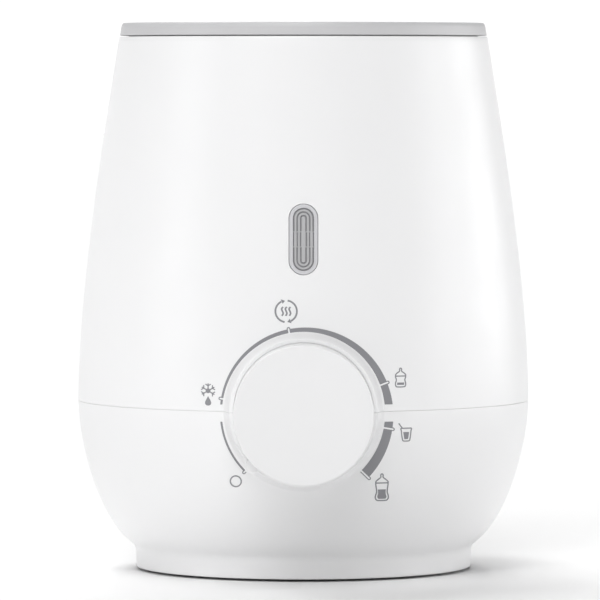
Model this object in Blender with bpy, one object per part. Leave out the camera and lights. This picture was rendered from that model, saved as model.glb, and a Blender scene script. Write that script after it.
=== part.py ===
"""Electric baby bottle warmer: two moulded shells round a heated water tub, set by one dial.

Metres, +Z up, dial towards -Y. The origin is under the middle of the bounding box, on the ground.
"""
import math

import bmesh
import bpy
from mathutils import Matrix, Vector

# Driving dimensions, in metres -------------------------------------------------------------

# Outer form, as radii about the body axis and heights above the ground
MAX_RADIUS = 0.0700
SEAM_Z = 0.0525
TOP_RADIUS = 0.0572
SHELL_TOP_Z = 0.1652
TOP_LEAN = 0.154            # inward lean of the wall at its top, as radius over height
UPPER_BELLY = 0.0366        # length of straight pull above the seam
UPPER_SHOULDER = 0.0225     # length of straight pull below the top
BOWL_FOOT_RADIUS = 0.0530
BOWL_FOOT_Z = 0.0078
BOWL_FOOT_LEAN = 1.39
LOWER_BELLY = 0.0108
LOWER_TUCK = 0.0086
PLINTH_RADIUS = 0.0521
PLINTH_BOTTOM_Z = 0.0015
PLINTH_BORE = 0.0496
TOP_Z = 0.1695
WALL = 0.0025
GAP = 0.0003                # running and assembly clearance between neighbouring pieces
SEAM_GAP = 0.0003
CUT_MARGIN = 0.0050         # how far a cutting shape runs past what it cuts

# Dial, as distances ahead of the body axis along the dial axis
KNOB_RADIUS = 0.02095
KNOB_FACE = 0.0880
KNOB_BACK = 0.0640
KNOB_EDGE = 0.0008
HUB_RADIUS = 0.0056
HUB_BACK = 0.0650
POINTER_TIP = 0.0236
POINTER_HALF_WIDTH = 0.0020
POINTER_FRONT = 0.0845
POINTER_BACK = 0.0738
OFF_ANGLE = math.radians(225)
COLLAR_BORE = 0.02144
COLLAR_RIM = 0.0730
COLLAR_ROOT_RADIUS = 0.0256
COLLAR_COVE = ((0.0256, 0.0650), (0.0242, 0.0675), (0.0234, 0.0702))
COLLAR_EDGE = ((0.0230, 0.0722), (0.0225, 0.0730))
RECESS_FLOOR = 0.0630
RECESS_BACK = 0.0610
SHAFT_RADIUS = 0.0030
SHAFT_HOLE = 0.0046

KNOB_SIDE_WALL = 0.0020
KNOB_ROOF = 0.0855
POINTER_ROOT = 0.0170       # radius at which the pointer starts, inside the knob
SHAFT_FLAT = 0.0023         # distance of the shaft's flat from its axis
SHAFT_BACK = 0.0530
SHAFT_FRONT = 0.0840
FLAT_BACK = 0.0640
CLIP_THICK = 0.0011
CLIP_BACK = 0.0664
CLIP_FRONT = 0.0690

# Status window in the front wall. Depths are along its normal, with the wall at 0
WINDOW_Z = 0.1042
WINDOW_HALF_WIDTH = 0.00435
WINDOW_HALF_HEIGHT = 0.0107
BEZEL_BAND = 0.0011
BEZEL_FRONT = 0.00015
BEZEL_BACK = -0.0042
FLANGE_HALF_SIZE = (0.0060, 0.0124)
FLANGE_FRONT = -0.0031
FLANGE_BACK = -0.0046
LENS_FRONT = 0.00005
GUIDE_HALF_SIZE = (0.0026, 0.0090)
GUIDE_FRONT = -0.0045
GUIDE_BACK = -0.0095
HOLDER_HALF_SIZE = (0.0070, 0.0140)
HOLDER_OPENING = (0.0030, 0.0095)
HOLDER_FRONT = -0.0049
HOLDER_BACK = -0.0140
LED_BOARD_HALF_SIZE = (0.0065, 0.0145)
LED_BOARD_FRONT = -0.0143
LED_BOARD_BACK = -0.0158
LED_HALF_SIZE = 0.0014
LED_FRONT = -0.0124
LED_PITCH = 0.0063

# Water tub and its heater
TUB_MOUTH = 0.0446
TUB_FLOOR_RADIUS = 0.0426
TUB_WALL = 0.0018
TUB_FLANGE_Z = 0.1600
TUB_FLANGE_RADIUS = 0.0543
TUB_FLOOR_Z = 0.0450
TUB_FLOOR_THICK = 0.0022
TUB_OPENING = 0.0340
TUB_RIBS = 8
TUB_TAPER_Z = 0.0030        # drop below the flange at which the wall starts to taper
TUB_TAPER = 0.0004
TUB_CORNER = (0.0025, 0.0024)
TUB_HEEL = (0.0006, 0.0022)
TUB_FLARE = 0.0030
RIB_CENTRES = (0.0427, 0.0433)
RIB_RADIUS = 0.0010
RIB_TOP_Z = 0.1450
TUB_BOSS_REACH = 0.0452
TUB_BOSS_RADIUS = 0.0029
TUB_BOSS_TOP_Z = 0.0500
SEAL_TOP_Z = 0.0447
PLATE_TOP_Z = 0.0429
PLATE_THICK = 0.0012
PLATE_RADIUS = 0.0408
SPREADER_TOP_Z = 0.0414
SPREADER_BOTTOM_Z = 0.0383
SPREADER_RADIUS = 0.0325
SPREADER_EDGE = 0.0005
CLAMP_BORE = 0.0332
CLAMP_RADIUS = 0.0493
CLAMP_BOTTOM_Z = 0.0400
CLAMP_HOLE = 0.0017
ELEMENT_OPENING = math.radians(30)
TERMINAL_HALF_WIDTH = 0.0030
TERMINAL_HALF_THICK = 0.0004
TERMINAL_BOTTOM_Z = 0.0176
CUTOUT_PROFILE = (
    (0, 0.0330),
    (0.0070, 0.0330),
    (0.0070, 0.0360),
    (0.0082, 0.0364),
    (0.0082, 0.0380),
    (0, 0.0380),
)
SENSOR_PROFILE = ((0, 0.0330), (0.0018, 0.0334), (0.0024, 0.0345), (0.0024, 0.0380), (0, 0.0380))
SENSOR_PLACE = (0, 0.0140, 0)
FUSE_PROFILE = (
    (0, -0.0075),
    (0.0012, -0.0070),
    (0.0020, -0.0060),
    (0.0020, 0.0060),
    (0.0012, 0.0070),
    (0, 0.0075),
)
FUSE_PLACE = (0, -0.0132, 0.0358)
ELEMENT_RADIUS = 0.0220
ELEMENT_TUBE = 0.0031
ELEMENT_Z = 0.0349
CLAMP_SCREW_RADIUS = 0.0463

# Underside
BASE_RADIUS = 0.0492
BASE_BOTTOM_Z = 0.0019
BASE_TOP_Z = 0.0044
FOOT_RADIUS = 0.0060
FOOT_CIRCLE = 0.0400
FOOT_EDGE = (0.0007, 0.0006)
FOOT_TOP_Z = 0.0030
BASE_SCREW_CIRCLE = 0.0440
BASE_HEAD_RADIUS = 0.0034   # of the pockets for the screw heads
BASE_HEAD_Z = 0.0031
BASE_SHANK_RADIUS = 0.0018
VENT_COUNT = 5
VENT_PITCH = 0.0055
VENT_HALF_LENGTH = 0.0110
VENT_HALF_WIDTH = 0.0010
STANDOFF_X = 0.0300
STANDOFF_Y = 0.0190
STANDOFF_RADIUS = 0.0028
PIN_RADIUS = 0.0009
PIN_TOP_Z = 0.0148
PLINTH_CURVE = ((0.0524, 0.0069), (0.0522, 0.0060))
PLINTH_CHAMFER = 0.0003
PLINTH_TOP_Z = 0.0082

# Cord gland in the rear wall
GLAND_Z = 0.0220
GLAND_HOLE = 0.0050
GLAND_PROFILE = (
    (0.0030, -0.0052),
    (0.0056, -0.0052),
    (0.0056, -0.0036),
    (0.0047, -0.0032),
    (0.0047, 0.0004),
    (0.0075, 0.0004),
    (0.0075, 0.0016),
    (0.0066, 0.0024),
    (0.0052, 0.0026),
    (0.0048, 0.0046),
    (0.0043, 0.0050),
    (0.0030, 0.0050),
)

# Screws between the shells, and the bosses they enter
SHELL_SCREW_CIRCLE = 0.0615
SHELL_SCREW_HOLE = 0.00175
BOSS_RADIUS = 0.0036
BOSS_SPLIT_Z = 0.0547
BOSS_TOP_Z = 0.0640
BOSS_BOTTOM_Z = 0.0435
UPPER_BOSS_REACH = 0.0648
LOWER_BOSS_INSET = 0.0037
BASE_BOSS_REACH = 0.0473
BASE_BOSS_TOP_Z = 0.0160
PILOT_RADIUS = 0.0014
LEDGE_RADIUS = 0.0515       # of the ledge that the tub's flange rests on
LEDGE_LIP = 0.0020
LEDGE_DROP = 0.0060
MOUTH_DRAFT = 0.0006
LIP_THICK = 0.0015          # of the lip that locates the upper shell on the lower one
LIP_BOTTOM_Z = 0.0495

# Power board and what stands on it
BOARD_BOTTOM_Z = 0.0120
BOARD_THICK = 0.0016
BOARD_HALF_SIZE = (0.0350, 0.0240)
BOARD_HOLE = 0.0013
RELAY_AREA = ((0.0050, -0.0180), (0.0245, -0.0025))
RELAY_HEIGHT = 0.0150
CAPACITOR_AREA = ((-0.0290, -0.0120), (-0.0110, -0.0045))
CAPACITOR_HEIGHT = 0.0130
TERMINAL_AREA = ((-0.0310, 0.0060), (-0.0160, 0.0150))
TERMINAL_HEIGHT = 0.0100
TERMINAL_HOLE = 0.0014
TERMINAL_HOLE_HEIGHT = 0.0050
MAINS_ENTRIES = (-0.0270, -0.0200)

# Bracket, board and potentiometer behind the dial, by reach along the dial axis
BRACKET_BACK = 0.0560
BRACKET_FRONT = 0.0580
BRACKET_AREA = ((-0.0296, -0.0130), (0.0296, 0.0120))
BRACKET_BORE = 0.00475
POST_X = 0.0240
POST_Y = 0.0612
POST_RADIUS = 0.0029
POST_BOTTOM_Z = 0.0400
POST_TOP_Z = 0.0480
POST_SCREW_Z = 0.0440
POST_PILOT = 0.0012
DIAL_BOARD_AREA = ((-0.0180, -0.0110), (0.0180, 0.0135))
DIAL_BOARD_BACK = 0.0495
DIAL_BOARD_FRONT = 0.0511
POT_PROFILE = (
    (0, 0.0514),
    (0.0083, 0.0514),
    (0.0083, 0.0552),
    (0.0078, 0.0557),
    (0.0044, 0.0557),
    (0.0044, 0.0603),
    (0.0033, 0.0603),
    (0.0033, 0.0527),
    (0, 0.0527),
)
NUT_RADIUS = 0.0070
NUT_BORE = 0.0047
NUT_BACK = 0.0583
NUT_FRONT = 0.0602

# Top ring
RING_GAP = 0.00035
RING_RADIUS = 0.05695
RING_SHOULDER = (0.0565, 0.0010)
RING_CREST = (0.0555, 0.0543)
RING_FUNNEL = (0.0468, 0.1640)
RING_MOUTH = 0.0456
RING_RELIEF = ((0.0470, 0.1621), (0.0522, 0.1664), (0.0522, 0.1621))

# Screw sizes: head (radius, height), shank radius, and heights under the head and at the tip
CLAMP_SCREW = ((0.0028, 0.0018), 0.0011, 0.0397, 0.0470)
BRACKET_SCREW = ((0.0023, 0.0015), 0.0009, 0.0557, 0.0625)
BASE_SCREW = ((0.0030, 0.0009), 0.0011, 0.0029, 0.0130)
SHELL_SCREW = ((0.0030, 0.0020), 0.0011, 0.0432, 0.0610)

# Lead thicknesses, as radii
MAINS_WIRE = 0.0009
HEATER_WIRE = 0.0008
SIGNAL_WIRE = 0.0010
SENSOR_WIRE = 0.0007

RING_STEPS = 48             # facets round the large turned pieces

AXIS_Y = (KNOB_FACE - MAX_RADIUS) / 2

UPPER_CURVE = (
    (MAX_RADIUS, SEAM_Z),
    (MAX_RADIUS, SEAM_Z + UPPER_BELLY),
    (TOP_RADIUS + TOP_LEAN * UPPER_SHOULDER, SHELL_TOP_Z - UPPER_SHOULDER),
    (TOP_RADIUS, SHELL_TOP_Z),
)
LOWER_CURVE = (
    (MAX_RADIUS, SEAM_Z),
    (MAX_RADIUS, SEAM_Z - LOWER_BELLY),
    (BOWL_FOOT_RADIUS + BOWL_FOOT_LEAN * LOWER_TUCK, BOWL_FOOT_Z + LOWER_TUCK),
    (BOWL_FOOT_RADIUS, BOWL_FOOT_Z),
)


# Outlines ----------------------------------------------------------------------------------

def curve_point(curve, t, inset=0.0):
    """The point at t on a cubic curve of (radius, height), moved inset towards the body axis."""
    a, b, c, d = (Vector(point) for point in curve)
    u = 1 - t
    point = u**3 * a + 3 * u * u * t * b + 3 * u * t * t * c + t**3 * d
    slope = 3 * u * u * (b - a) + 6 * u * t * (c - b) + 3 * t * t * (d - c)
    inward = Vector((-abs(slope.y), math.copysign(slope.x, slope.x * slope.y))).normalized()
    return tuple(point + inset * inward)


def curve_points(curve, count, start=0.0, inset=0.0):
    return [curve_point(curve, start + (1 - start) * i / count, inset) for i in range(count + 1)]


def radius_at(height):
    """Outer radius of the body at this height."""
    curve = UPPER_CURVE if height > SEAM_Z else LOWER_CURVE
    low, high = 0.0, 1.0
    for _ in range(40):
        middle = (low + high) / 2
        if abs(curve_point(curve, middle)[1] - SEAM_Z) < abs(height - SEAM_Z):
            low = middle
        else:
            high = middle
    return curve_point(curve, low)[0]


def lean_at(height):
    """Angle of the wall's outward normal above the horizontal at this height."""
    step = 0.0005
    return math.atan((radius_at(height - step) - radius_at(height + step)) / (2 * step))


def circle(radius, count=20, x=0.0, y=0.0):
    turns = (math.tau * i / count for i in range(count))
    return [(x + radius * math.cos(turn), y + radius * math.sin(turn)) for turn in turns]


def rectangle(x_low, x_high, y_low, y_high):
    return [(x_low, y_low), (x_high, y_low), (x_high, y_high), (x_low, y_high)]


def capsule(start, end, radius, count=8):
    """Outline of a strip with round ends, its centre line running from start to end."""
    start, end = Vector(start), Vector(end)
    heading = math.atan2(end.y - start.y, end.x - start.x)
    outline = []
    for centre, first in ((end, heading - math.pi / 2), (start, heading + math.pi / 2)):
        for i in range(count + 1):
            turn = first + math.pi * i / count
            outline.append((centre.x + radius * math.cos(turn), centre.y + radius * math.sin(turn)))
    return outline


def pill(half_width, half_height, count=8):
    straight = half_height - half_width
    return capsule((0, -straight), (0, straight), half_width, count)


def d_outline(radius, flat, count=20):
    """A circle with one side cut flat, facing +X."""
    reach = math.acos(flat / radius)
    turns = (reach + (math.tau - 2 * reach) * i / count for i in range(count + 1))
    return [(radius * math.cos(turn), radius * math.sin(turn)) for turn in turns]


def polar(radius, angle):
    return (radius * math.cos(angle), radius * math.sin(angle))


# Making pieces -----------------------------------------------------------------------------

def clear_scene():
    for piece in list(bpy.data.objects):
        bpy.data.objects.remove(piece, do_unlink=True)


def finish(name, colour, roughness, metallic=0.0, alpha=1.0):
    made = bpy.data.materials.new(name)
    made.use_nodes = True
    shader = made.node_tree.nodes["Principled BSDF"]
    shader.inputs["Base Color"].default_value = (*colour, 1.0)
    shader.inputs["Roughness"].default_value = roughness
    shader.inputs["Metallic"].default_value = metallic
    shader.inputs["Alpha"].default_value = alpha
    return made


def empty(name, location, rotation=(0, 0, 0), parent=None):
    made = bpy.data.objects.new(name, None)
    bpy.context.scene.collection.objects.link(made)
    made.parent = parent
    made.location = location
    made.rotation_euler = rotation
    return made


def place(name, mesh, surface, parent, location=(0, 0, 0), rotation=(0, 0, 0)):
    bmesh.ops.recalc_face_normals(mesh, faces=mesh.faces)
    data = bpy.data.meshes.new(name)
    mesh.to_mesh(data)
    mesh.free()
    data.materials.append(surface)
    data.shade_smooth()
    data.set_sharp_from_angle(angle=math.radians(35))
    made = bpy.data.objects.new(name, data)
    bpy.context.scene.collection.objects.link(made)
    made.parent = parent
    made.location = location
    made.rotation_euler = rotation
    return made


def turned_mesh(profile, steps):
    """A closed outline of (radius, height) points spun about local Z."""
    mesh = bmesh.new()
    corners = [mesh.verts.new((radius, 0, height)) for radius, height in profile]
    edges = []
    for a, b in zip(corners, corners[1:] + corners[:1]):
        if max(a.co.x, b.co.x) > 0:
            edges.append(mesh.edges.new((a, b)))
    bmesh.ops.spin(
        mesh, geom=corners + edges, axis=(0, 0, 1), cent=(0, 0, 0),
        steps=steps, angle=math.tau, use_merge=True,
    )
    bmesh.ops.remove_doubles(mesh, verts=mesh.verts, dist=1e-7)
    return mesh


def turned(name, profile, surface, parent, steps=RING_STEPS, **where):
    return place(name, turned_mesh(profile, steps), surface, parent, **where)


def add_prism(mesh, outline, low, high):
    base = [mesh.verts.new((x, y, low)) for x, y in outline]
    top = [mesh.verts.new((x, y, high)) for x, y in outline]
    mesh.faces.new(base[::-1])
    mesh.faces.new(top)
    for i in range(len(outline)):
        j = (i + 1) % len(outline)
        mesh.faces.new((base[i], base[j], top[j], top[i]))


def prism(name, outline, low, high, surface, parent, **where):
    mesh = bmesh.new()
    add_prism(mesh, outline, low, high)
    return place(name, mesh, surface, parent, **where)


def block(name, low, high, surface, parent, **where):
    outline = rectangle(low[0], high[0], low[1], high[1])
    return prism(name, outline, low[2], high[2], surface, parent, **where)


def prisms(name, outlines, low, high, surface, parent, **where):
    """Several separate prisms of one height in one mesh, for adding to or cutting from a piece."""
    mesh = bmesh.new()
    for outline in outlines:
        add_prism(mesh, outline, low, high)
    return place(name, mesh, surface, parent, **where)


def combine(piece, helper, operation):
    """Adds the helper to the piece, or cuts it away, and hides the helper."""
    helper.hide_render = True
    helper.display_type = "WIRE"
    step = piece.modifiers.new(helper.name, "BOOLEAN")
    step.operation = operation
    step.solver = "EXACT"
    step.object = helper


def add(piece, helper):
    combine(piece, helper, "UNION")


def cut(piece, helper):
    combine(piece, helper, "DIFFERENCE")


def soften(piece, width, segments=2):
    step = piece.modifiers.new("edges", "BEVEL")
    step.width = width
    step.segments = segments
    step.limit_method = "ANGLE"
    step.angle_limit = math.radians(40)
    return piece


def lead(name, route, radius, surface, parent, count=10):
    """An insulated wire along a smooth curve through the route's points."""
    points = [Vector(point) for point in route]
    ends = [2 * points[0] - points[1], *points, 2 * points[-1] - points[-2]]
    spans = len(points) - 1
    course = []
    for i in range(count + 1):
        place_on = min(i * spans / count, spans - 1e-9)
        k = int(place_on)
        t = place_on - k
        a, b, c, d = ends[k:k + 4]
        course.append(
            0.5 * (2 * b + t * (c - a) + t * t * (2 * a - 5 * b + 4 * c - d)
                   + t**3 * (3 * b - a - 3 * c + d))
        )
    data = bpy.data.curves.new(name, "CURVE")
    data.dimensions = "3D"
    data.bevel_depth = radius
    data.bevel_resolution = 1
    data.use_fill_caps = True
    data.materials.append(surface)
    spline = data.splines.new("POLY")
    spline.points.add(len(course) - 1)
    for target, point in zip(spline.points, course):
        target.co = (*point, 1.0)
    made = bpy.data.objects.new(name, data)
    bpy.context.scene.collection.objects.link(made)
    made.parent = parent
    return made


# Housing -----------------------------------------------------------------------------------

def collar_mesh():
    """The raised ring round the knob and the recess floor behind it, before the bore is cut."""
    outer = [(0, RECESS_BACK), (COLLAR_ROOT_RADIUS, RECESS_BACK), *COLLAR_COVE, *COLLAR_EDGE, (0, COLLAR_RIM)]
    return turned_mesh(outer, 36)


def bore_mesh():
    """The space that the knob and its shaft turn in."""
    front = COLLAR_RIM + CUT_MARGIN
    back = RECESS_BACK - CUT_MARGIN
    profile = [
        (0, back),
        (SHAFT_HOLE, back),
        (SHAFT_HOLE, RECESS_FLOOR),
        (COLLAR_BORE, RECESS_FLOOR),
        (COLLAR_BORE, front),
        (0, front),
    ]
    return turned_mesh(profile, 40)


def half_collar(shell, keeps, axes, surface):
    """Gives a shell its half of the collar. keeps is +1 above the seam and -1 below it."""
    side = shell.name.split("_")[0]
    add(shell, place(f"{side}_collar_form", collar_mesh(), surface, axes["front"]))
    cut(shell, place(f"{side}_collar_bore", bore_mesh(), surface, axes["front"]))
    edge = SEAM_Z + keeps * (SEAM_GAP / 2 + 0.00005)
    beyond = SEAM_Z - keeps * (COLLAR_ROOT_RADIUS + 3 * CUT_MARGIN)
    low, high = sorted((edge, beyond))
    width = COLLAR_ROOT_RADIUS + 0.0012
    front = -KNOB_FACE
    back = CUT_MARGIN - RECESS_BACK
    cut(shell, block(
        f"{side}_seam_cut", (-width, front, low), (width, back, high), surface, axes["body"],
    ))


def upper_shell(axes, surface):
    seam = SEAM_Z + SEAM_GAP / 2
    outer = curve_points(UPPER_CURVE, 7)
    outer[0] = (MAX_RADIUS, seam)
    outer[-1] = (TOP_RADIUS - 0.0003, SHELL_TOP_Z)
    outer.insert(-1, (TOP_RADIUS + 0.00005, SHELL_TOP_Z - 0.0003))
    ledge_top = TUB_FLANGE_Z - GAP
    ledge_foot = ledge_top - LEDGE_DROP
    inner = [point for point in curve_points(UPPER_CURVE, 4, inset=WALL) if point[1] < ledge_foot]
    inner[0] = (MAX_RADIUS - WALL, seam)
    wall_top = TOP_RADIUS - WALL
    profile = outer + [
        (wall_top, SHELL_TOP_Z),
        (wall_top + MOUTH_DRAFT, ledge_top),
        (LEDGE_RADIUS, ledge_top),
        (LEDGE_RADIUS, ledge_top - LEDGE_LIP),
        (radius_at(ledge_foot) - WALL, ledge_foot),
    ] + inner[::-1]
    shell = turned("upper_shell", profile, surface, axes["body"])
    bosses = [
        capsule(polar(SHELL_SCREW_CIRCLE, angle), polar(UPPER_BOSS_REACH, angle), BOSS_RADIUS, 5)
        for angle in screw_angles()
    ]
    holes = [circle(PILOT_RADIUS, 8, *polar(SHELL_SCREW_CIRCLE, angle)) for angle in screw_angles()]
    half_collar(shell, 1, axes, surface)
    low, high = BOSS_SPLIT_Z + 0.0001, BOSS_TOP_Z
    add(shell, prisms("upper_bosses", bosses, low, high, surface, axes["body"]))
    cut(shell, prisms("upper_boss_holes", holes, low - 0.0017, high - 0.0020, surface, axes["body"]))
    window = pill(WINDOW_HALF_WIDTH + GAP, WINDOW_HALF_HEIGHT + GAP)
    cut(shell, prism("window_hole", window, -CUT_MARGIN, CUT_MARGIN, surface, axes["window"]))
    return shell


def lower_shell(axes, surface):
    seam = SEAM_Z - SEAM_GAP / 2
    outer = curve_points(LOWER_CURVE, 8)
    outer[0] = (MAX_RADIUS, seam)
    inner = curve_points(LOWER_CURVE, 4, start=0.25, inset=WALL)
    lip = MAX_RADIUS - WALL - GAP
    lip_top = BOSS_SPLIT_Z - 0.0002
    profile = outer + list(PLINTH_CURVE) + [
        (PLINTH_RADIUS, PLINTH_BOTTOM_Z + PLINTH_CHAMFER),
        (PLINTH_RADIUS - PLINTH_CHAMFER, PLINTH_BOTTOM_Z),
        (PLINTH_BORE, PLINTH_BOTTOM_Z),
        (PLINTH_BORE, PLINTH_TOP_Z),
    ] + inner[::-1] + [
        (lip - LIP_THICK, LIP_BOTTOM_Z),
        (lip - LIP_THICK, lip_top),
        (lip, lip_top),
        (lip, seam),
    ]
    shell = turned("lower_shell", profile, surface, axes["body"])
    bosses = [
        capsule(polar(SHELL_SCREW_CIRCLE, angle), polar(lip - LOWER_BOSS_INSET, angle), BOSS_RADIUS, 5)
        for angle in screw_angles()
    ]
    holes = [circle(SHELL_SCREW_HOLE, 8, *polar(SHELL_SCREW_CIRCLE, angle)) for angle in screw_angles()]
    base_bosses = [
        capsule(polar(BASE_SCREW_CIRCLE, angle), polar(BASE_BOSS_REACH, angle), BOSS_RADIUS, 5)
        for angle in quarter_angles(0)
    ]
    base_holes = [circle(PILOT_RADIUS, 8, *polar(BASE_SCREW_CIRCLE, angle)) for angle in quarter_angles(0)]
    posts = [capsule((x, -POST_Y), (x, -POST_Y - 0.0001), POST_RADIUS, 5) for x in (-POST_X, POST_X)]
    post_holes = [circle(POST_PILOT, 8, x, POST_SCREW_Z - SEAM_Z) for x in (-POST_X, POST_X)]
    body = axes["body"]
    half_collar(shell, -1, axes, surface)
    add(shell, prisms("lower_bosses", bosses, BOSS_BOTTOM_Z, BOSS_SPLIT_Z - 0.0003, surface, body))
    low, high = BOSS_BOTTOM_Z - 0.0015, BOSS_SPLIT_Z + 0.0013
    cut(shell, prisms("lower_boss_holes", holes, low, high, surface, body))
    add(shell, prisms("base_bosses", base_bosses, BASE_TOP_Z + GAP, BASE_BOSS_TOP_Z, surface, body))
    low, high = BASE_TOP_Z - 0.0014, BASE_BOSS_TOP_Z - 0.0020
    cut(shell, prisms("base_boss_holes", base_holes, low, high, surface, body))
    add(shell, prisms("bracket_posts", posts, POST_BOTTOM_Z, POST_TOP_Z, surface, body))
    cut(shell, prisms(
        "bracket_post_holes", post_holes, BRACKET_FRONT - 0.0010, BRACKET_FRONT + 0.0060, surface, axes["front"],
    ))
    cut(shell, prism("gland_hole", circle(GLAND_HOLE, 20), -CUT_MARGIN, CUT_MARGIN, surface, axes["gland"]))
    return shell


def screw_angles():
    return [math.radians(angle) for angle in (90, 210, 330)]


def standoff_corners():
    return [(x, y) for x in (-STANDOFF_X, STANDOFF_X) for y in (-STANDOFF_Y, STANDOFF_Y)]


def quarter_angles(first):
    return [math.radians(first + 90 * i) for i in range(4)]


def top_ring(axes, surface):
    low = SHELL_TOP_Z + RING_GAP
    seat = TUB_FLANGE_Z + TUB_WALL + GAP
    skirt = TUB_FLANGE_RADIUS - 0.0001
    profile = [
        (skirt, low),
        (RING_RADIUS, low),
        (RING_SHOULDER[0], TOP_Z - RING_SHOULDER[1]),
        (RING_CREST[0], TOP_Z),
        (RING_CREST[1], TOP_Z),
        RING_FUNNEL,
        (RING_MOUTH, seat),
        *RING_RELIEF,
        (skirt, seat),
    ]
    return turned("top_ring", profile, surface, axes["body"])


def base_plate(axes, surface):
    profile = [(0, BASE_BOTTOM_Z), (BASE_RADIUS, BASE_BOTTOM_Z), (BASE_RADIUS, BASE_TOP_Z), (0, BASE_TOP_Z)]
    plate = turned("base_plate", profile, surface, axes["body"], steps=40)
    standoffs = [circle(STANDOFF_RADIUS, 8, *corner) for corner in standoff_corners()]
    pins = [circle(PIN_RADIUS, 6, *corner) for corner in standoff_corners()]
    rows = [VENT_PITCH * (i - (VENT_COUNT - 1) / 2) for i in range(VENT_COUNT)]
    slots = [capsule((-VENT_HALF_LENGTH, y), (VENT_HALF_LENGTH, y), VENT_HALF_WIDTH, 4) for y in rows]
    pockets = [circle(FOOT_RADIUS + GAP, 16, *polar(FOOT_CIRCLE, angle)) for angle in quarter_angles(45)]
    heads = [circle(BASE_HEAD_RADIUS, 10, *polar(BASE_SCREW_CIRCLE, angle)) for angle in quarter_angles(0)]
    shanks = [circle(BASE_SHANK_RADIUS, 8, *polar(BASE_SCREW_CIRCLE, angle)) for angle in quarter_angles(0)]
    body = axes["body"]
    below = BASE_BOTTOM_Z - 0.0009
    above = BASE_TOP_Z + 0.0016
    add(plate, prisms("standoffs", standoffs, BASE_TOP_Z - 0.0010, BOARD_BOTTOM_Z - GAP, surface, body))
    add(plate, prisms("standoff_pins", pins, BOARD_BOTTOM_Z - 0.0010, PIN_TOP_Z, surface, body))
    cut(plate, prisms("vent_slots", slots, below, above, surface, body))
    cut(plate, prisms("foot_pockets", pockets, below, FOOT_TOP_Z + GAP, surface, body))
    cut(plate, prisms("screw_heads", heads, below, BASE_HEAD_Z, surface, body))
    cut(plate, prisms("screw_shanks", shanks, BASE_HEAD_Z - 0.0011, above, surface, body))
    return plate


def foot(number, angle, axes, surface):
    profile = [
        (0, 0),
        (FOOT_RADIUS - FOOT_EDGE[0], 0),
        (FOOT_RADIUS, FOOT_EDGE[1]),
        (FOOT_RADIUS, FOOT_TOP_Z),
        (0, FOOT_TOP_Z),
    ]
    where = (*polar(FOOT_CIRCLE, angle), 0)
    return turned(f"foot_{number}", profile, surface, axes["body"], steps=16, location=where)


def screw(name, head, shank, under_head, tip, parent, surface, location, steps=8):
    """A pan head of (radius, height) and a shank of this radius, from under the head to its tip."""
    radius, height = head
    profile = [
        (0, under_head - height),
        (radius, under_head - height),
        (radius, under_head),
        (shank, under_head),
        (shank, tip),
        (0, tip),
    ]
    return turned(name, profile, surface, parent, steps=steps, location=location)


# Water tub and heater ----------------------------------------------------------------------

def water_tub(axes, surface):
    floor_top = TUB_FLOOR_Z + TUB_FLOOR_THICK
    profile = [
        (TUB_FLANGE_RADIUS, TUB_FLANGE_Z + TUB_WALL),
        (TUB_MOUTH, TUB_FLANGE_Z + TUB_WALL),
        (TUB_MOUTH - TUB_TAPER, TUB_FLANGE_Z - TUB_TAPER_Z),
        (TUB_FLOOR_RADIUS, floor_top + TUB_CORNER[1]),
        (TUB_FLOOR_RADIUS - TUB_CORNER[0], floor_top),
        (TUB_OPENING, floor_top),
        (TUB_OPENING, TUB_FLOOR_Z),
        (TUB_FLOOR_RADIUS + TUB_HEEL[0], TUB_FLOOR_Z),
        (TUB_FLOOR_RADIUS + TUB_WALL, TUB_FLOOR_Z + TUB_HEEL[1]),
        (TUB_MOUTH - TUB_TAPER + TUB_WALL, TUB_FLANGE_Z - TUB_TAPER_Z),
        (TUB_MOUTH + TUB_FLARE, TUB_FLANGE_Z),
        (TUB_FLANGE_RADIUS, TUB_FLANGE_Z),
    ]
    tub = turned("water_tub", profile, surface, axes["body"], steps=36)
    rib_angles = [math.tau * (i + 0.5) / TUB_RIBS for i in range(TUB_RIBS)]
    inner, outer = RIB_CENTRES
    ribs = [capsule(polar(inner, angle), polar(outer, angle), RIB_RADIUS, 2) for angle in rib_angles]
    bosses = [
        capsule(polar(CLAMP_SCREW_RADIUS, angle), polar(TUB_BOSS_REACH, angle), TUB_BOSS_RADIUS, 4)
        for angle in quarter_angles(45)
    ]
    holes = [circle(PILOT_RADIUS, 8, *polar(CLAMP_SCREW_RADIUS, angle)) for angle in quarter_angles(45)]
    add(tub, prisms("tub_ribs", ribs, floor_top - 0.0008, RIB_TOP_Z, surface, axes["body"]))
    add(tub, prisms("tub_bosses", bosses, SPREADER_TOP_Z + GAP, TUB_BOSS_TOP_Z, surface, axes["body"]))
    cut(tub, prisms(
        "tub_boss_holes", holes, SPREADER_TOP_Z - 0.0014, TUB_BOSS_TOP_Z - 0.0020, surface, axes["body"],
    ))
    return tub


def washer(name, bore, radius, low, high, surface, parent, steps=32):
    profile = [(bore, low), (radius, low), (radius, high), (bore, high)]
    return turned(name, profile, surface, parent, steps=steps)


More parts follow.
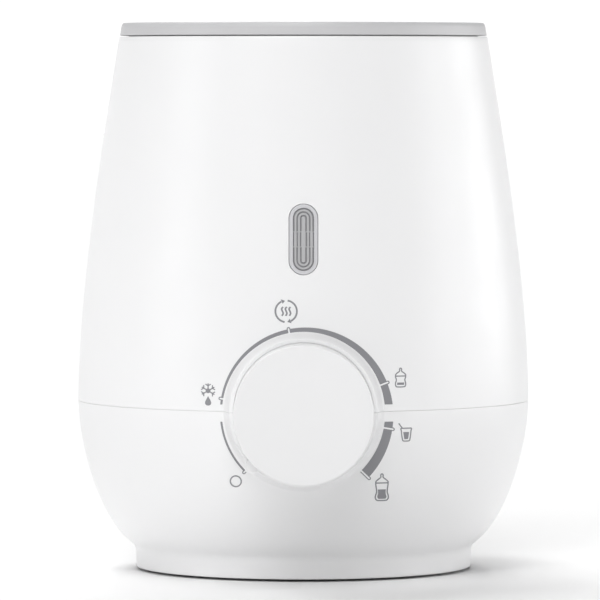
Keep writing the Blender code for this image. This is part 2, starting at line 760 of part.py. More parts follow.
def heater(axes, skins):
    body = axes["body"]
    seat = PLATE_TOP_Z + GAP
    washer("plate_seal", TUB_OPENING + GAP, PLATE_RADIUS, seat, SEAL_TOP_Z, skins["silicone"], body)
    under = PLATE_TOP_Z - PLATE_THICK
    plate = [(0, under), (PLATE_RADIUS, under), (PLATE_RADIUS, PLATE_TOP_Z), (0, PLATE_TOP_Z)]
    turned("heater_plate", plate, skins["stainless"], body, steps=32)
    spreader = [
        (0, SPREADER_BOTTOM_Z),
        (SPREADER_RADIUS - SPREADER_EDGE, SPREADER_BOTTOM_Z),
        (SPREADER_RADIUS, SPREADER_BOTTOM_Z + SPREADER_EDGE),
        (SPREADER_RADIUS, SPREADER_TOP_Z),
        (0, SPREADER_TOP_Z),
    ]
    turned("heat_spreader", spreader, skins["aluminium"], body, steps=28)
    clamp = washer("clamp_ring", CLAMP_BORE, CLAMP_RADIUS, CLAMP_BOTTOM_Z, SPREADER_TOP_Z, skins["steel"], body)
    holes = [circle(CLAMP_HOLE, 8, *polar(CLAMP_SCREW_RADIUS, angle)) for angle in quarter_angles(45)]
    cut(clamp, prisms(
        "clamp_holes", holes, CLAMP_BOTTOM_Z - CUT_MARGIN, SPREADER_TOP_Z + CUT_MARGIN, skins["steel"], body,
    ))
    for number, angle in enumerate(quarter_angles(45), 1):
        where = (*polar(CLAMP_SCREW_RADIUS, angle), 0)
        screw(f"clamp_screw_{number}", *CLAMP_SCREW, body, skins["steel"], where)
    heating_element(axes, skins)
    turned("thermal_cutout", CUTOUT_PROFILE, skins["black"], body, steps=20)
    turned("ntc_sensor", SENSOR_PROFILE, skins["epoxy"], body, steps=12, location=SENSOR_PLACE)
    across = (0, math.radians(90), 0)
    turned("thermal_fuse", FUSE_PROFILE, skins["brass"], body, steps=12, location=FUSE_PLACE, rotation=across)


def heating_element(axes, skins):
    """A sheathed element bent into an open ring, its two ends turned down to the terminals."""
    first = math.pi / 2 + ELEMENT_OPENING
    sweep = math.tau - 2 * ELEMENT_OPENING
    ring = [(*polar(ELEMENT_RADIUS, first + sweep * i / 20), ELEMENT_Z) for i in range(21)]
    tails = []
    for end in (ring[0], ring[-1]):
        tails.append([(end[0] * (1 - 0.05 * k), end[1] + 0.0005 * k, ELEMENT_Z - drop)
                      for k, drop in enumerate((0.0012, 0.0042, 0.0080))])
    data = bpy.data.curves.new("heating_element", "CURVE")
    data.dimensions = "3D"
    data.bevel_depth = ELEMENT_TUBE
    data.bevel_resolution = 2
    data.use_fill_caps = True
    data.materials.append(skins["sheath"])
    course = tails[0][::-1] + ring[1:-1] + tails[1]
    spline = data.splines.new("POLY")
    spline.points.add(len(course) - 1)
    for target, point in zip(spline.points, course):
        target.co = (*point, 1.0)
    made = bpy.data.objects.new("heating_element", data)
    bpy.context.scene.collection.objects.link(made)
    made.parent = axes["body"]
    for number, tail in enumerate(tails, 1):
        x, y, z = tail[-1]
        block(
            f"element_terminal_{number}",
            (x - TERMINAL_HALF_WIDTH, y - TERMINAL_HALF_THICK, TERMINAL_BOTTOM_Z),
            (x + TERMINAL_HALF_WIDTH, y + TERMINAL_HALF_THICK, z - 0.0018),
            skins["brass"], axes["body"],
        )


# Electrics ---------------------------------------------------------------------------------

def power_board(axes, skins):
    body = axes["body"]
    top = BOARD_BOTTOM_Z + BOARD_THICK
    half_x, half_y = BOARD_HALF_SIZE
    low, high = (-half_x, -half_y, BOARD_BOTTOM_Z), (half_x, half_y, top)
    board = block("power_board", low, high, skins["board"], body)
    holes = [circle(BOARD_HOLE, 8, *corner) for corner in standoff_corners()]
    cut(board, prisms("board_holes", holes, BOARD_BOTTOM_Z - 0.0010, top + 0.0014, skins["board"], body))
    seat = top + GAP
    relay = standing("relay", RELAY_AREA, seat, RELAY_HEIGHT, skins["black"], body)
    soften(relay, 0.0006, 1)
    capacitor = standing("film_capacitor", CAPACITOR_AREA, seat, CAPACITOR_HEIGHT, skins["capacitor"], body)
    soften(capacitor, 0.0008, 1)
    terminal = standing("terminal_block", TERMINAL_AREA, seat, TERMINAL_HEIGHT, skins["terminal"], body)
    wire_holes = [circle(TERMINAL_HOLE, 8, x, seat + TERMINAL_HOLE_HEIGHT) for x in MAINS_ENTRIES]
    back = TERMINAL_AREA[1][1]
    cut(terminal, prisms(
        "terminal_holes", wire_holes, -back - 0.0020, -back + 0.0040, skins["terminal"], body,
        rotation=(math.radians(90), 0, 0),
    ))


def standing(name, area, seat, height, surface, parent):
    """A block standing at this height on an area given by two corners."""
    low, high = area
    return block(name, (*low, seat), (*high, seat + height), surface, parent)


def dial_electrics(axes, skins):
    front = axes["front"]
    hole_y = POST_SCREW_Z - SEAM_Z
    low, high = BRACKET_BACK - 0.0020, BRACKET_FRONT + 0.0020
    thick = BRACKET_FRONT - BRACKET_BACK
    bracket = standing("dial_bracket", BRACKET_AREA, BRACKET_BACK, thick, skins["bracket"], front)
    cut(bracket, prism("bracket_hole", circle(BRACKET_BORE), low, high, skins["bracket"], front))
    screw_holes = [circle(PILOT_RADIUS, 8, x, hole_y) for x in (-POST_X, POST_X)]
    cut(bracket, prisms("bracket_screw_holes", screw_holes, low, high, skins["bracket"], front))
    for number, x in enumerate((-POST_X, POST_X), 1):
        screw(f"bracket_screw_{number}", *BRACKET_SCREW, front, skins["steel"], (x, hole_y, 0))
    thick = DIAL_BOARD_FRONT - DIAL_BOARD_BACK
    standing("dial_board", DIAL_BOARD_AREA, DIAL_BOARD_BACK, thick, skins["board"], front)
    turned("potentiometer", POT_PROFILE, skins["pot"], front, steps=18)
    nut = prism("pot_nut", circle(NUT_RADIUS, 6), NUT_BACK, NUT_FRONT, skins["steel"], front)
    cut(nut, prism("nut_bore", circle(NUT_BORE), NUT_BACK - 0.0013, NUT_FRONT + 0.0008, skins["steel"], front))


def window(axes, skins):
    frame = axes["window"]
    outer = (WINDOW_HALF_WIDTH, WINDOW_HALF_HEIGHT)
    inner = (WINDOW_HALF_WIDTH - BEZEL_BAND, WINDOW_HALF_HEIGHT - BEZEL_BAND)
    bezel = prism("window_bezel", pill(*outer), BEZEL_BACK, BEZEL_FRONT, skins["bezel"], frame)
    flange = prism("bezel_flange", pill(*FLANGE_HALF_SIZE), FLANGE_BACK, FLANGE_FRONT, skins["bezel"], frame)
    add(bezel, flange)
    cut(bezel, prism("bezel_opening", pill(*inner), -CUT_MARGIN - 0.0010, 0.0020, skins["bezel"], frame))
    lens = pill(inner[0] - GAP, inner[1] - GAP)
    prism("window_lens", lens, BEZEL_BACK, LENS_FRONT, skins["lens"], frame)
    prism("light_guide", pill(*GUIDE_HALF_SIZE), GUIDE_BACK, GUIDE_FRONT, skins["clear"], frame)
    holder = plate("led_holder", HOLDER_HALF_SIZE, HOLDER_BACK, HOLDER_FRONT, skins["bracket"], frame)
    low, high = HOLDER_BACK - 0.0020, HOLDER_FRONT + 0.0019
    cut(holder, prism("holder_opening", pill(*HOLDER_OPENING), low, high, skins["bracket"], frame))
    plate("led_board", LED_BOARD_HALF_SIZE, LED_BOARD_BACK, LED_BOARD_FRONT, skins["board"], frame)
    for number in (1, 2, 3):
        where = (0, LED_PITCH * (number - 2), 0)
        half_size = (LED_HALF_SIZE, LED_HALF_SIZE)
        plate(f"led_{number}", half_size, HOLDER_BACK, LED_FRONT, skins["led"], frame, location=where)


def plate(name, half_size, low, high, surface, parent, **where):
    """A block centred on its parent's axis, half_size across, from low to high along the axis."""
    x, y = half_size
    return block(name, (-x, -y, low), (x, y, high), surface, parent, **where)


def leads(axes, skins):
    body = axes["body"]
    inside = body.matrix_world.inverted() @ axes["gland"].matrix_world
    top = BOARD_BOTTOM_Z + BOARD_THICK + 2 * GAP
    entry = top - GAP + TERMINAL_HOLE_HEIGHT
    for number, (side, end_x) in enumerate(zip((-1, 1), MAINS_ENTRIES), 1):
        start = inside @ Vector((side * 0.0014, 0, -0.0056))
        after = inside @ Vector((side * 0.0014, 0, -0.0085))
        route = [start, after, (end_x * 0.55, 0.0420, 0.0270), (end_x, 0.0250, 0.0215),
                 (end_x, 0.0190, entry), (end_x, 0.0146, entry)]
        skin = skins["live_wire"] if number == 1 else skins["neutral_wire"]
        lead(f"mains_lead_{number}", route, MAINS_WIRE, skin, body)
    for number, side in enumerate((-1, 1), 1):
        route = [(side * 0.0094, 0.0201, 0.0173), (side * 0.0096, 0.0205, 0.0165),
                 (side * 0.0104, 0.0224, 0.0157), (side * 0.0125, 0.0226, 0.0155),
                 (side * 0.0142, 0.0205, 0.0158), (side * 0.0142, 0.0203, top)]
        lead(f"heater_lead_{number}", route, HEATER_WIRE, skins["heater_wire"], body, count=8)
    lead("dial_lead", [(0.0120, -0.0503, 0.0412), (0.0120, -0.0506, 0.0375), (0.0110, -0.0480, 0.0290),
                       (0.0090, -0.0360, 0.0220), (0.0080, -0.0235, 0.0190), (0.0080, -0.0222, top)],
         SIGNAL_WIRE, skins["signal_wire"], body)
    board_end = inside_window(body, axes, (-0.0020, -0.0148, -0.0150))
    below = inside_window(body, axes, (-0.0020, -0.0180, -0.0150))
    lead("led_lead", [(-0.0090, -0.0503, 0.0663), (-0.0090, -0.0503, 0.0690), (-0.0050, -0.0510, 0.0770),
                      below, board_end], SIGNAL_WIRE, skins["signal_wire"], body)
    lead("sensor_lead", [(0, 0.0140, 0.0327), (0, 0.0140, 0.0300), (-0.0020, 0.0110, 0.0230),
                         (-0.0040, 0.0045, 0.0175), (-0.0040, 0.0040, top)],
         SENSOR_WIRE, skins["signal_wire"], body, count=8)


def inside_window(body, axes, point):
    """A point of the window's frame as seen from the body's."""
    return body.matrix_world.inverted() @ axes["window"].matrix_world @ Vector(point)


# Dial --------------------------------------------------------------------------------------

def dial(axes, skins):
    """Everything that turns with the knob, at rest with its pointer at off."""
    joint = axes["dial"]
    edge = [
        (KNOB_RADIUS - KNOB_EDGE * (1 - math.sin(turn)), KNOB_FACE - KNOB_EDGE * (1 - math.cos(turn)))
        for turn in (math.radians(30 * i) for i in range(4))
    ]
    profile = [(0, KNOB_FACE)] + edge + [
        (KNOB_RADIUS, KNOB_BACK),
        (KNOB_RADIUS - KNOB_SIDE_WALL, KNOB_BACK),
        (KNOB_RADIUS - KNOB_SIDE_WALL, KNOB_ROOF),
        (HUB_RADIUS, KNOB_ROOF),
        (HUB_RADIUS, HUB_BACK),
        (0, HUB_BACK),
    ]
    knob = turned("dial_knob", profile, skins["knob"], joint, steps=36)
    pointer = capsule((POINTER_ROOT, 0), (POINTER_TIP - POINTER_HALF_WIDTH, 0), POINTER_HALF_WIDTH)
    turn = (0, 0, OFF_ANGLE)
    add(knob, prism("pointer_form", pointer, POINTER_BACK, POINTER_FRONT, skins["knob"], joint, rotation=turn))
    bore = d_outline(SHAFT_RADIUS + GAP, SHAFT_FLAT + GAP)
    cut(knob, prism("knob_bore", bore, HUB_BACK - 0.0030, SHAFT_FRONT + GAP, skins["knob"], joint))
    shaft = prism("dial_shaft", circle(SHAFT_RADIUS, 24), SHAFT_BACK, SHAFT_FRONT, skins["steel"], joint)
    reach = SHAFT_FRONT + 0.0020
    flat = block("shaft_flat", (SHAFT_FLAT, -0.0050, FLAT_BACK), (0.0050, 0.0050, reach), skins["steel"], joint)
    cut(shaft, flat)
    clip = HUB_RADIUS + CLIP_THICK
    washer("knob_clip", HUB_RADIUS + GAP, clip, CLIP_BACK, CLIP_FRONT, skins["steel"], joint, steps=20)


def finishes():
    return {
        "white": finish("body_white", (0.84, 0.85, 0.86), 0.35),
        "knob": finish("knob_white", (0.80, 0.81, 0.82), 0.45),
        "ring": finish("ring_grey", (0.60, 0.61, 0.63), 0.45),
        "bezel": finish("bezel_grey", (0.70, 0.71, 0.73), 0.40),
        "lens": finish("lens_white", (0.82, 0.82, 0.83), 0.25),
        "tub": finish("tub_grey", (0.62, 0.63, 0.65), 0.50),
        "base": finish("base_grey", (0.70, 0.71, 0.72), 0.55),
        "rubber": finish("foot_rubber", (0.20, 0.20, 0.21), 0.80),
        "silicone": finish("seal_silicone", (0.70, 0.25, 0.18), 0.60),
        "stainless": finish("plate_steel", (0.72, 0.72, 0.73), 0.28, 1.0),
        "aluminium": finish("spreader_aluminium", (0.78, 0.78, 0.79), 0.40, 1.0),
        "sheath": finish("element_sheath", (0.35, 0.34, 0.33), 0.45, 1.0),
        "steel": finish("zinc_steel", (0.66, 0.66, 0.68), 0.32, 1.0),
        "brass": finish("terminal_brass", (0.78, 0.62, 0.30), 0.32, 1.0),
        "black": finish("component_black", (0.05, 0.05, 0.06), 0.50),
        "capacitor": finish("capacitor_yellow", (0.78, 0.60, 0.12), 0.45),
        "terminal": finish("terminal_green", (0.10, 0.36, 0.20), 0.45),
        "board": finish("board_green", (0.05, 0.22, 0.12), 0.45),
        "bracket": finish("bracket_black", (0.10, 0.10, 0.11), 0.55),
        "pot": finish("pot_case", (0.55, 0.55, 0.56), 0.35, 0.8),
        "epoxy": finish("sensor_epoxy", (0.12, 0.12, 0.13), 0.40),
        "led": finish("led_amber", (0.90, 0.62, 0.25), 0.25),
        "clear": finish("guide_clear", (0.90, 0.92, 0.93), 0.10, 0.0, 0.5),
        "live_wire": finish("wire_brown", (0.25, 0.12, 0.06), 0.50),
        "neutral_wire": finish("wire_blue", (0.08, 0.18, 0.45), 0.50),
        "heater_wire": finish("wire_white", (0.80, 0.79, 0.76), 0.60),
        "signal_wire": finish("wire_grey", (0.45, 0.45, 0.47), 0.55),
    }


def axis_empties():
    """Frames that the pieces are placed in. In the front ones local Z points out of the body."""
    body = empty("body_axis", (0, AXIS_Y, 0))
    facing = math.radians(90)
    axes = {
        "body": body,
        "front": empty("front_axis", (0, 0, SEAM_Z), (facing, 0, 0), body),
        "dial": empty("dial_axis", (0, 0, SEAM_Z), (facing, 0, 0), body),
        "window": empty("window_axis", (0, -radius_at(WINDOW_Z), WINDOW_Z),
                        (facing - lean_at(WINDOW_Z), 0, 0), body),
        "gland": empty("gland_axis", (0, radius_at(GLAND_Z), GLAND_Z),
                       (-facing + lean_at(GLAND_Z), 0, 0), body),
    }
    bpy.context.view_layer.update()
    return axes


def main():
    clear_scene()
    skins = finishes()
    axes = axis_empties()
    body = axes["body"]
    upper_shell(axes, skins["white"])
    lower_shell(axes, skins["white"])
    top_ring(axes, skins["ring"])
    water_tub(axes, skins["tub"])
    heater(axes, skins)
    base_plate(axes, skins["base"])
    for number, angle in enumerate(quarter_angles(45), 1):
        foot(number, angle, axes, skins["rubber"])
    for number, angle in enumerate(quarter_angles(0), 1):
        where = (*polar(BASE_SCREW_CIRCLE, angle), 0)
        screw(f"base_screw_{number}", *BASE_SCREW, body, skins["steel"], where)
    for number, angle in enumerate(screw_angles(), 1):
        where = (*polar(SHELL_SCREW_CIRCLE, angle), 0)
        screw(f"shell_screw_{number}", *SHELL_SCREW, body, skins["steel"], where)
    power_board(axes, skins)
    dial_electrics(axes, skins)
    window(axes, skins)
    turned("cord_gland", GLAND_PROFILE, skins["base"], axes["gland"], steps=18)
    leads(axes, skins)
    dial(axes, skins)


main()
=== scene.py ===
"""Looks of the bottle warmer: fine shells, dial, window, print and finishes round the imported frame.

Metres, in the frame of the CAD: +Z up, dial towards -Y, body axis at AXIS_Y.
"""
import math

import bmesh
import bpy
import numpy as np
from mathutils import Matrix, Vector


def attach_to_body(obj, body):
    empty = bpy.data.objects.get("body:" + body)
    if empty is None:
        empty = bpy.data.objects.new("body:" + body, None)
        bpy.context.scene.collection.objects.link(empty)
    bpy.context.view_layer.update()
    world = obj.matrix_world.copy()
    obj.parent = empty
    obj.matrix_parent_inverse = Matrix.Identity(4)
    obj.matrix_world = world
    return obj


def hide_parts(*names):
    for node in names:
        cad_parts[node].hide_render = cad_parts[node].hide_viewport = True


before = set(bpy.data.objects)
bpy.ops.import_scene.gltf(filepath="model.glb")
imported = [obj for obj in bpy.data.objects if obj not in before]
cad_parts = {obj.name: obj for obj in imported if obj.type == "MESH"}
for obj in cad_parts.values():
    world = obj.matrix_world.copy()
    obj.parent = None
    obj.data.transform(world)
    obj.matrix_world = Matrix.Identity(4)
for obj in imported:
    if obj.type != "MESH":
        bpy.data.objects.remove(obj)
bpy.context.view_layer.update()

# Dimensions shared with the CAD ------------------------------------------------------------

AXIS_Y = 0.0090
MAX_RADIUS = 0.0700
SEAM_Z = 0.0525
SHELL_TOP_Z = 0.1652
TOP_RADIUS = 0.0572
WALL = 0.0025
PLINTH_BORE = 0.0496
UPPER_BELLY = 0.0366        # upright pull of the upper wall's curve at the seam
UPPER_SHOULDER = 0.0225     # its pull below the rim, leaning in by TOP_LEAN
TOP_LEAN = 0.154
LOWER_BELLY = 0.0108
LOWER_TUCK = 0.0086
BOWL_FOOT_RADIUS = 0.0530
BOWL_FOOT_Z = 0.0078
BOWL_FOOT_LEAN = 1.39
UPPER_CURVE = (
    (MAX_RADIUS, SEAM_Z),
    (MAX_RADIUS, SEAM_Z + UPPER_BELLY),
    (TOP_RADIUS + TOP_LEAN * UPPER_SHOULDER, SHELL_TOP_Z - UPPER_SHOULDER),
    (TOP_RADIUS, SHELL_TOP_Z),
)
LOWER_CURVE = (
    (MAX_RADIUS, SEAM_Z),
    (MAX_RADIUS, SEAM_Z - LOWER_BELLY),
    (BOWL_FOOT_RADIUS + BOWL_FOOT_LEAN * LOWER_TUCK, BOWL_FOOT_Z + LOWER_TUCK),
    (BOWL_FOOT_RADIUS, BOWL_FOOT_Z),
)
COLLAR_BORE = 0.02102
RECESS_FLOOR = 0.0630
RECESS_BACK = 0.0610
RECESS_BACK_RADIUS = 0.0256
SHAFT_HOLE = 0.0046
KNOB_RADIUS = 0.02095
KNOB_FACE = 0.0880
KNOB_BACK = 0.0640
OFF_ANGLE = math.radians(225)
WINDOW_Z = 0.1042
GLAND_Z = 0.0220
FOOT_CIRCLE = 0.0400
BASE_SCREW_CIRCLE = 0.0440

# Fine detail of the visible surfaces -------------------------------------------------------

SEAM_HALF_GAP = 0.00002
SEAM_EDGE = 0.00014
COVE_FOOT = 0.0242          # where the collar's cove runs out into the wall
COLLAR_LIP = (0.0222, 0.07294)
COVE_RUN = 0.0007           # how far the cove follows the wall before it rises
COVE_BULGE = 0.0006         # how far it still stands outside the lip at its shoulder
RIM_START_Z = 0.1535        # where the upper shell's rim path takes over from its wall
FOOT_START_Z = 0.0140       # where the lower shell's foot path does
GLAND_HOLE = 0.0050
WINDOW_SOFT = 0.00014       # rounding of the edge of the window's opening
SHARP_ANGLE = 32            # degrees between faces that keep a sharp edge
WINDOW_HOLE = 0.00442       # half width of the window's opening
WINDOW_STRAIGHT = 0.00635   # half length of its straight sides
PRINT_LIFT = 0.00004
PRINT_SINK = 0.00003
OVERPRINT = 0.000006        # lifts a line that crosses another


def wall_points(curve):
    t = np.linspace(0, 1, 1500)[:, None]
    a, b, c, d = np.array(curve)
    return (1 - t)**3 * a + 3 * t * (1 - t)**2 * b + 3 * t * t * (1 - t) * c + t**3 * d


UPPER_WALL = wall_points(UPPER_CURVE)
LOWER_WALL = wall_points(LOWER_CURVE)[::-1]


def radius_at(height):
    """Outer radius of the body at these heights."""
    upper = np.interp(height, UPPER_WALL[:, 1], UPPER_WALL[:, 0])
    lower = np.interp(height, LOWER_WALL[:, 1], LOWER_WALL[:, 0])
    return np.where(np.asarray(height) >= SEAM_Z, upper, lower)


def lean_at(height, step=0.0006):
    """Angle of the wall's outward normal above the horizontal."""
    height = np.asarray(height, float)
    return np.arctan2(radius_at(height - step) - radius_at(height + step), 2 * step)


def wall_point(angle, height, depth=0.0):
    """Points on the wall, or depth below it. The angle runs from the front towards +X."""
    lean = lean_at(height)
    radius = radius_at(height) - depth * np.cos(lean)
    return np.stack(np.broadcast_arrays(
        radius * np.sin(angle), AXIS_Y - radius * np.cos(angle), height - depth * np.sin(lean),
    ), axis=-1)


def front_point(x, height, depth=0.0):
    """Points on the front of the wall, by their place in a straight front view."""
    return wall_point(np.arcsin(x / radius_at(height)), height, depth)


# Mesh making -------------------------------------------------------------------------------

class Patchwork:
    """Grids of points gathered patch by patch, then welded into one closed surface."""

    def __init__(self):
        self.points = []
        self.faces = []
        self.looks = []
        self.count = 0

    def grid(self, rows, wrap=False, looks=None):
        """Quads over an array of rows of points. wrap joins each row's end to its start."""
        rows = np.asarray(rows, float)
        height, width = rows.shape[:2]
        index = self.count + np.arange(height * width).reshape(height, width)
        if wrap:
            index = np.concatenate([index, index[:, :1]], axis=1)
        quads = np.stack([index[:-1, :-1], index[:-1, 1:], index[1:, 1:], index[1:, :-1]], axis=-1)
        self.points.append(rows.reshape(-1, 3))
        self.faces.extend(quads.reshape(-1, 4).tolist())
        chosen = np.zeros(quads.shape[:2], int) if looks is None else np.broadcast_to(looks,
                                                                                      quads.shape[:2])
        self.looks.extend(chosen.reshape(-1).tolist())
        self.count += height * width

    def polygon(self, corners):
        corners = np.asarray(corners, float)
        self.points.append(corners)
        self.faces.append(list(range(self.count, self.count + len(corners))))
        self.looks.append(0)
        self.count += len(corners)

    def build(self, name, finishes, body, replaces=(), sharp=SHARP_ANGLE):
        data = bpy.data.meshes.new(name)
        data.from_pydata(np.concatenate(self.points).tolist(), [], self.faces)
        data.polygons.foreach_set("material_index", self.looks)
        mesh = bmesh.new()
        mesh.from_mesh(data)
        bmesh.ops.remove_doubles(mesh, verts=mesh.verts, dist=1.5e-6)
        bmesh.ops.dissolve_degenerate(mesh, edges=mesh.edges, dist=1e-7)
        bmesh.ops.recalc_face_normals(mesh, faces=mesh.faces)
        mesh.to_mesh(data)
        mesh.free()
        return attach(name, data, finishes, body, replaces, sharp)


def attach(name, data, finishes, body, replaces=(), sharp=SHARP_ANGLE):
    """Makes the object, shades it, and lets it ride on its body in place of CAD nodes."""
    for finish in finishes:
        data.materials.append(finish)
    data.shade_smooth()
    data.set_sharp_from_angle(angle=math.radians(sharp))
    piece = bpy.data.objects.new(name, data)
    bpy.context.scene.collection.objects.link(piece)
    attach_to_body(piece, body)
    if replaces:
        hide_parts(*replaces)
    return piece


def turned_rows(profile, steps, centre=(0.0, 0.0)):
    """Rows of points for a profile of (radius, height) turned about an upright axis."""
    profile = np.asarray(profile, float)
    turns = np.linspace(0, math.tau, steps, endpoint=False)
    radius, height = profile[:, :1], profile[:, 1:]
    return np.stack(np.broadcast_arrays(
        centre[0] + radius * np.cos(turns), centre[1] + radius * np.sin(turns), height,
    ), axis=-1)


def rounded(profile, radius, steps=4):
    """A closed profile with each of its corners rounded. radius is one value or one a corner."""
    profile = [np.array(point, float) for point in profile]
    radii = [radius] * len(profile) if np.isscalar(radius) else radius
    made = []
    for i, corner in enumerate(profile):
        before = profile[i - 1] - corner
        after = profile[(i + 1) % len(profile)] - corner
        reach = min(radii[i], 0.45 * np.linalg.norm(before), 0.45 * np.linalg.norm(after))
        if reach < 1e-6:
            made.append(corner)
            continue
        start = corner + reach * before / np.linalg.norm(before)
        end = corner + reach * after / np.linalg.norm(after)
        for t in np.linspace(0, 1, steps + 1):
            made.append((1 - t)**2 * start + 2 * t * (1 - t) * corner + t * t * end)
    return made


def turned(name, profile, finish, body, steps=192, centre=(0.0, AXIS_Y), replaces=(),
           sharp=SHARP_ANGLE):
    """A ring turned from a closed profile. Points on the axis close it."""
    patch = Patchwork()
    patch.grid(turned_rows([*profile, profile[0]], steps, centre), wrap=True)
    return patch.build(name, [finish], body, replaces, sharp)


# Shells ------------------------------------------------------------------------------------

PATCH_ANGLE = math.radians(30)
PATCH_HEIGHT = 0.0315
WINDOW_ANGLE = math.radians(7.5)
WINDOW_LOW, WINDOW_HIGH = 0.0900, 0.1184
FRONT_STEPS = np.radians(np.arange(-7.5, 7.6, 0.75))
SIDE_STEPS = np.radians(np.arange(7.5, 30.1, 1.5))
REAR_STEPS = np.radians(np.arange(30, 330.1, 1.5))
PATCH_STEPS = np.concatenate([-SIDE_STEPS[:0:-1], FRONT_STEPS, SIDE_STEPS[1:]])
SEAM_STEPS = np.array([0, 0.01, 0.03, 0.06, 0.10, 0.14, 0.30, 0.60, 1.0]) / 1000
PATCH_ROWS = np.concatenate([SEAM_STEPS, np.linspace(0.0020, PATCH_HEIGHT, 24)])


def seam_depth(distance):
    """How far the rounded edge of the seam lies below the wall, this far from the edge."""
    near = np.clip(SEAM_EDGE - distance, 0, None)
    return SEAM_EDGE - np.sqrt(SEAM_EDGE**2 - near**2)


def all_round(heights, depth):
    """The wall's full circle over these heights."""
    angles = np.concatenate([PATCH_STEPS, REAR_STEPS[1:-1]])
    return wall_point(angles[None, :], np.asarray(heights)[:, None], depth)


def dial_patch(patch, sign):
    """The front of one shell: wall, cove, collar and recess, ringed round the dial's axis."""
    rows, steps = PATCH_ROWS, PATCH_STEPS[::-1]
    angles = np.concatenate([np.full(len(rows), PATCH_ANGLE), steps[1:-1],
                             np.full(len(rows), -PATCH_ANGLE)])
    above = np.concatenate([rows, np.full(len(steps) - 2, PATCH_HEIGHT), rows[::-1]])
    edge_high = above + SEAM_HALF_GAP
    edge_x = radius_at(SEAM_Z + sign * edge_high) * np.sin(angles)
    across = np.sign(edge_x) * (np.abs(edge_x) > 1e-9)
    full = np.hypot(edge_x, edge_high)
    level = np.where(above < 0.0200, np.exp(-above / 0.0030), 0.0)

    def on_circle(radius):
        high = edge_high * (level + (1 - level) * radius / full)
        high = np.minimum(high, radius)
        return across * np.sqrt(np.maximum(radius**2 - high**2, 0)), high

    def wall_ring(x, high, depth):
        return front_point(x, SEAM_Z + sign * high, depth)

    def wall_reach(radius):
        x, high = on_circle(radius)
        return np.sqrt(radius_at(SEAM_Z + sign * high)**2 - x**2)

    rings = []
    foot_x, foot_high = on_circle(COVE_FOOT)
    for share in (0, 0.15, 0.3, 0.45, 0.6, 0.72, 0.82, 0.9, 0.96, 1):
        x = (1 - share) * edge_x + share * foot_x
        high = (1 - share) * edge_high + share * foot_high
        rings.append(wall_ring(x, high, seam_depth(high - SEAM_HALF_GAP)))

    foot = wall_reach(COVE_FOOT)
    inside = wall_reach(COVE_FOOT - COVE_RUN)
    rim_profile = [COLLAR_LIP, (0.02207, 0.07298), (0.0219, 0.0730), (0.02150, 0.0730), (0.02114, 0.0730),
                   (0.02106, 0.07297), (COLLAR_BORE, 0.07289), (COLLAR_BORE, 0.0712),
                   (COLLAR_BORE, 0.0680), (COLLAR_BORE, RECESS_FLOOR + 0.0004),
                   (COLLAR_BORE - 0.0004, RECESS_FLOOR), (0.0150, RECESS_FLOOR), (SHAFT_HOLE, RECESS_FLOOR),
                   (SHAFT_HOLE, RECESS_BACK), (RECESS_BACK_RADIUS, RECESS_BACK)]
    radii, reaches = [], []
    for t in np.linspace(0, 1, 13):
        weights = ((1 - t)**3, 3 * t * (1 - t)**2, 3 * t * t * (1 - t), t**3)
        radii.append(np.dot(weights, (COVE_FOOT, COVE_FOOT - COVE_RUN, COLLAR_LIP[0] + COVE_BULGE,
                                      COLLAR_LIP[0])))
        shoulder = COLLAR_LIP[1] - 0.28 * (COLLAR_LIP[1] - foot)
        bend = weights[0] * foot + weights[1] * inside + weights[2] * shoulder
        reaches.append(bend + weights[3] * COLLAR_LIP[1])
    for radius, reach in rim_profile[1:]:
        radii.append(radius)
        reaches.append(np.full(len(angles), reach))
    radii = np.repeat(np.array(radii)[:, None], len(angles), axis=1)
    reaches = np.array(reaches)
    along_radius = np.gradient(radii, axis=0)
    along_reach = np.gradient(reaches, axis=0)
    length = np.hypot(along_radius, along_reach)
    for i in range(1, len(radii)):
        x, high = on_circle(radii[i])
        depth = seam_depth(high - SEAM_HALF_GAP) * (reaches[i] > RECESS_FLOOR + 0.001)
        radius = radii[i] - depth * along_reach[i] / length[i]
        reach = reaches[i] + depth * along_radius[i] / length[i]
        scale = radius / radii[i]
        rings.append(np.stack([x * scale, AXIS_Y - reach, SEAM_Z + sign * high * scale], axis=-1))

    back_x, back_high = on_circle(RECESS_BACK_RADIUS)
    for share in (1, 0.6, 0.3, 0):
        x = (1 - share) * edge_x + share * back_x
        high = (1 - share) * edge_high + share * back_high
        rings.append(wall_ring(x, high, WALL))
    patch.grid(rings)
    patch.polygon([ring[0] for ring in rings])
    patch.polygon([ring[-1] for ring in rings])


def shell_wall(patch, sign):
    """The wall beside and behind the dial patch, with the flat faces that meet at the seam."""
    heights = (SEAM_Z + sign * (SEAM_HALF_GAP + PATCH_ROWS))[:, None]
    outer = wall_point(REAR_STEPS[None, :], heights, seam_depth(PATCH_ROWS)[:, None])
    inner = wall_point(REAR_STEPS[None, :], heights, WALL)
    patch.grid(outer)
    patch.grid(inner)
    patch.grid(np.stack([outer[0], inner[0]]))
    dial_patch(patch, sign)


def edge_path(patch, path, first, last):
    """Turned rows along a path of (radius, height) from the outer wall round to the inner wall."""
    angles = np.concatenate([PATCH_STEPS, REAR_STEPS[1:-1]])
    path = np.array(path)
    radius, height = path[:, :1], path[:, 1:]
    between = np.stack(np.broadcast_arrays(
        radius * np.sin(angles), AXIS_Y - radius * np.cos(angles), height,
    ), axis=-1)
    patch.grid(np.concatenate([first[None], between, last[None]]), wrap=True)


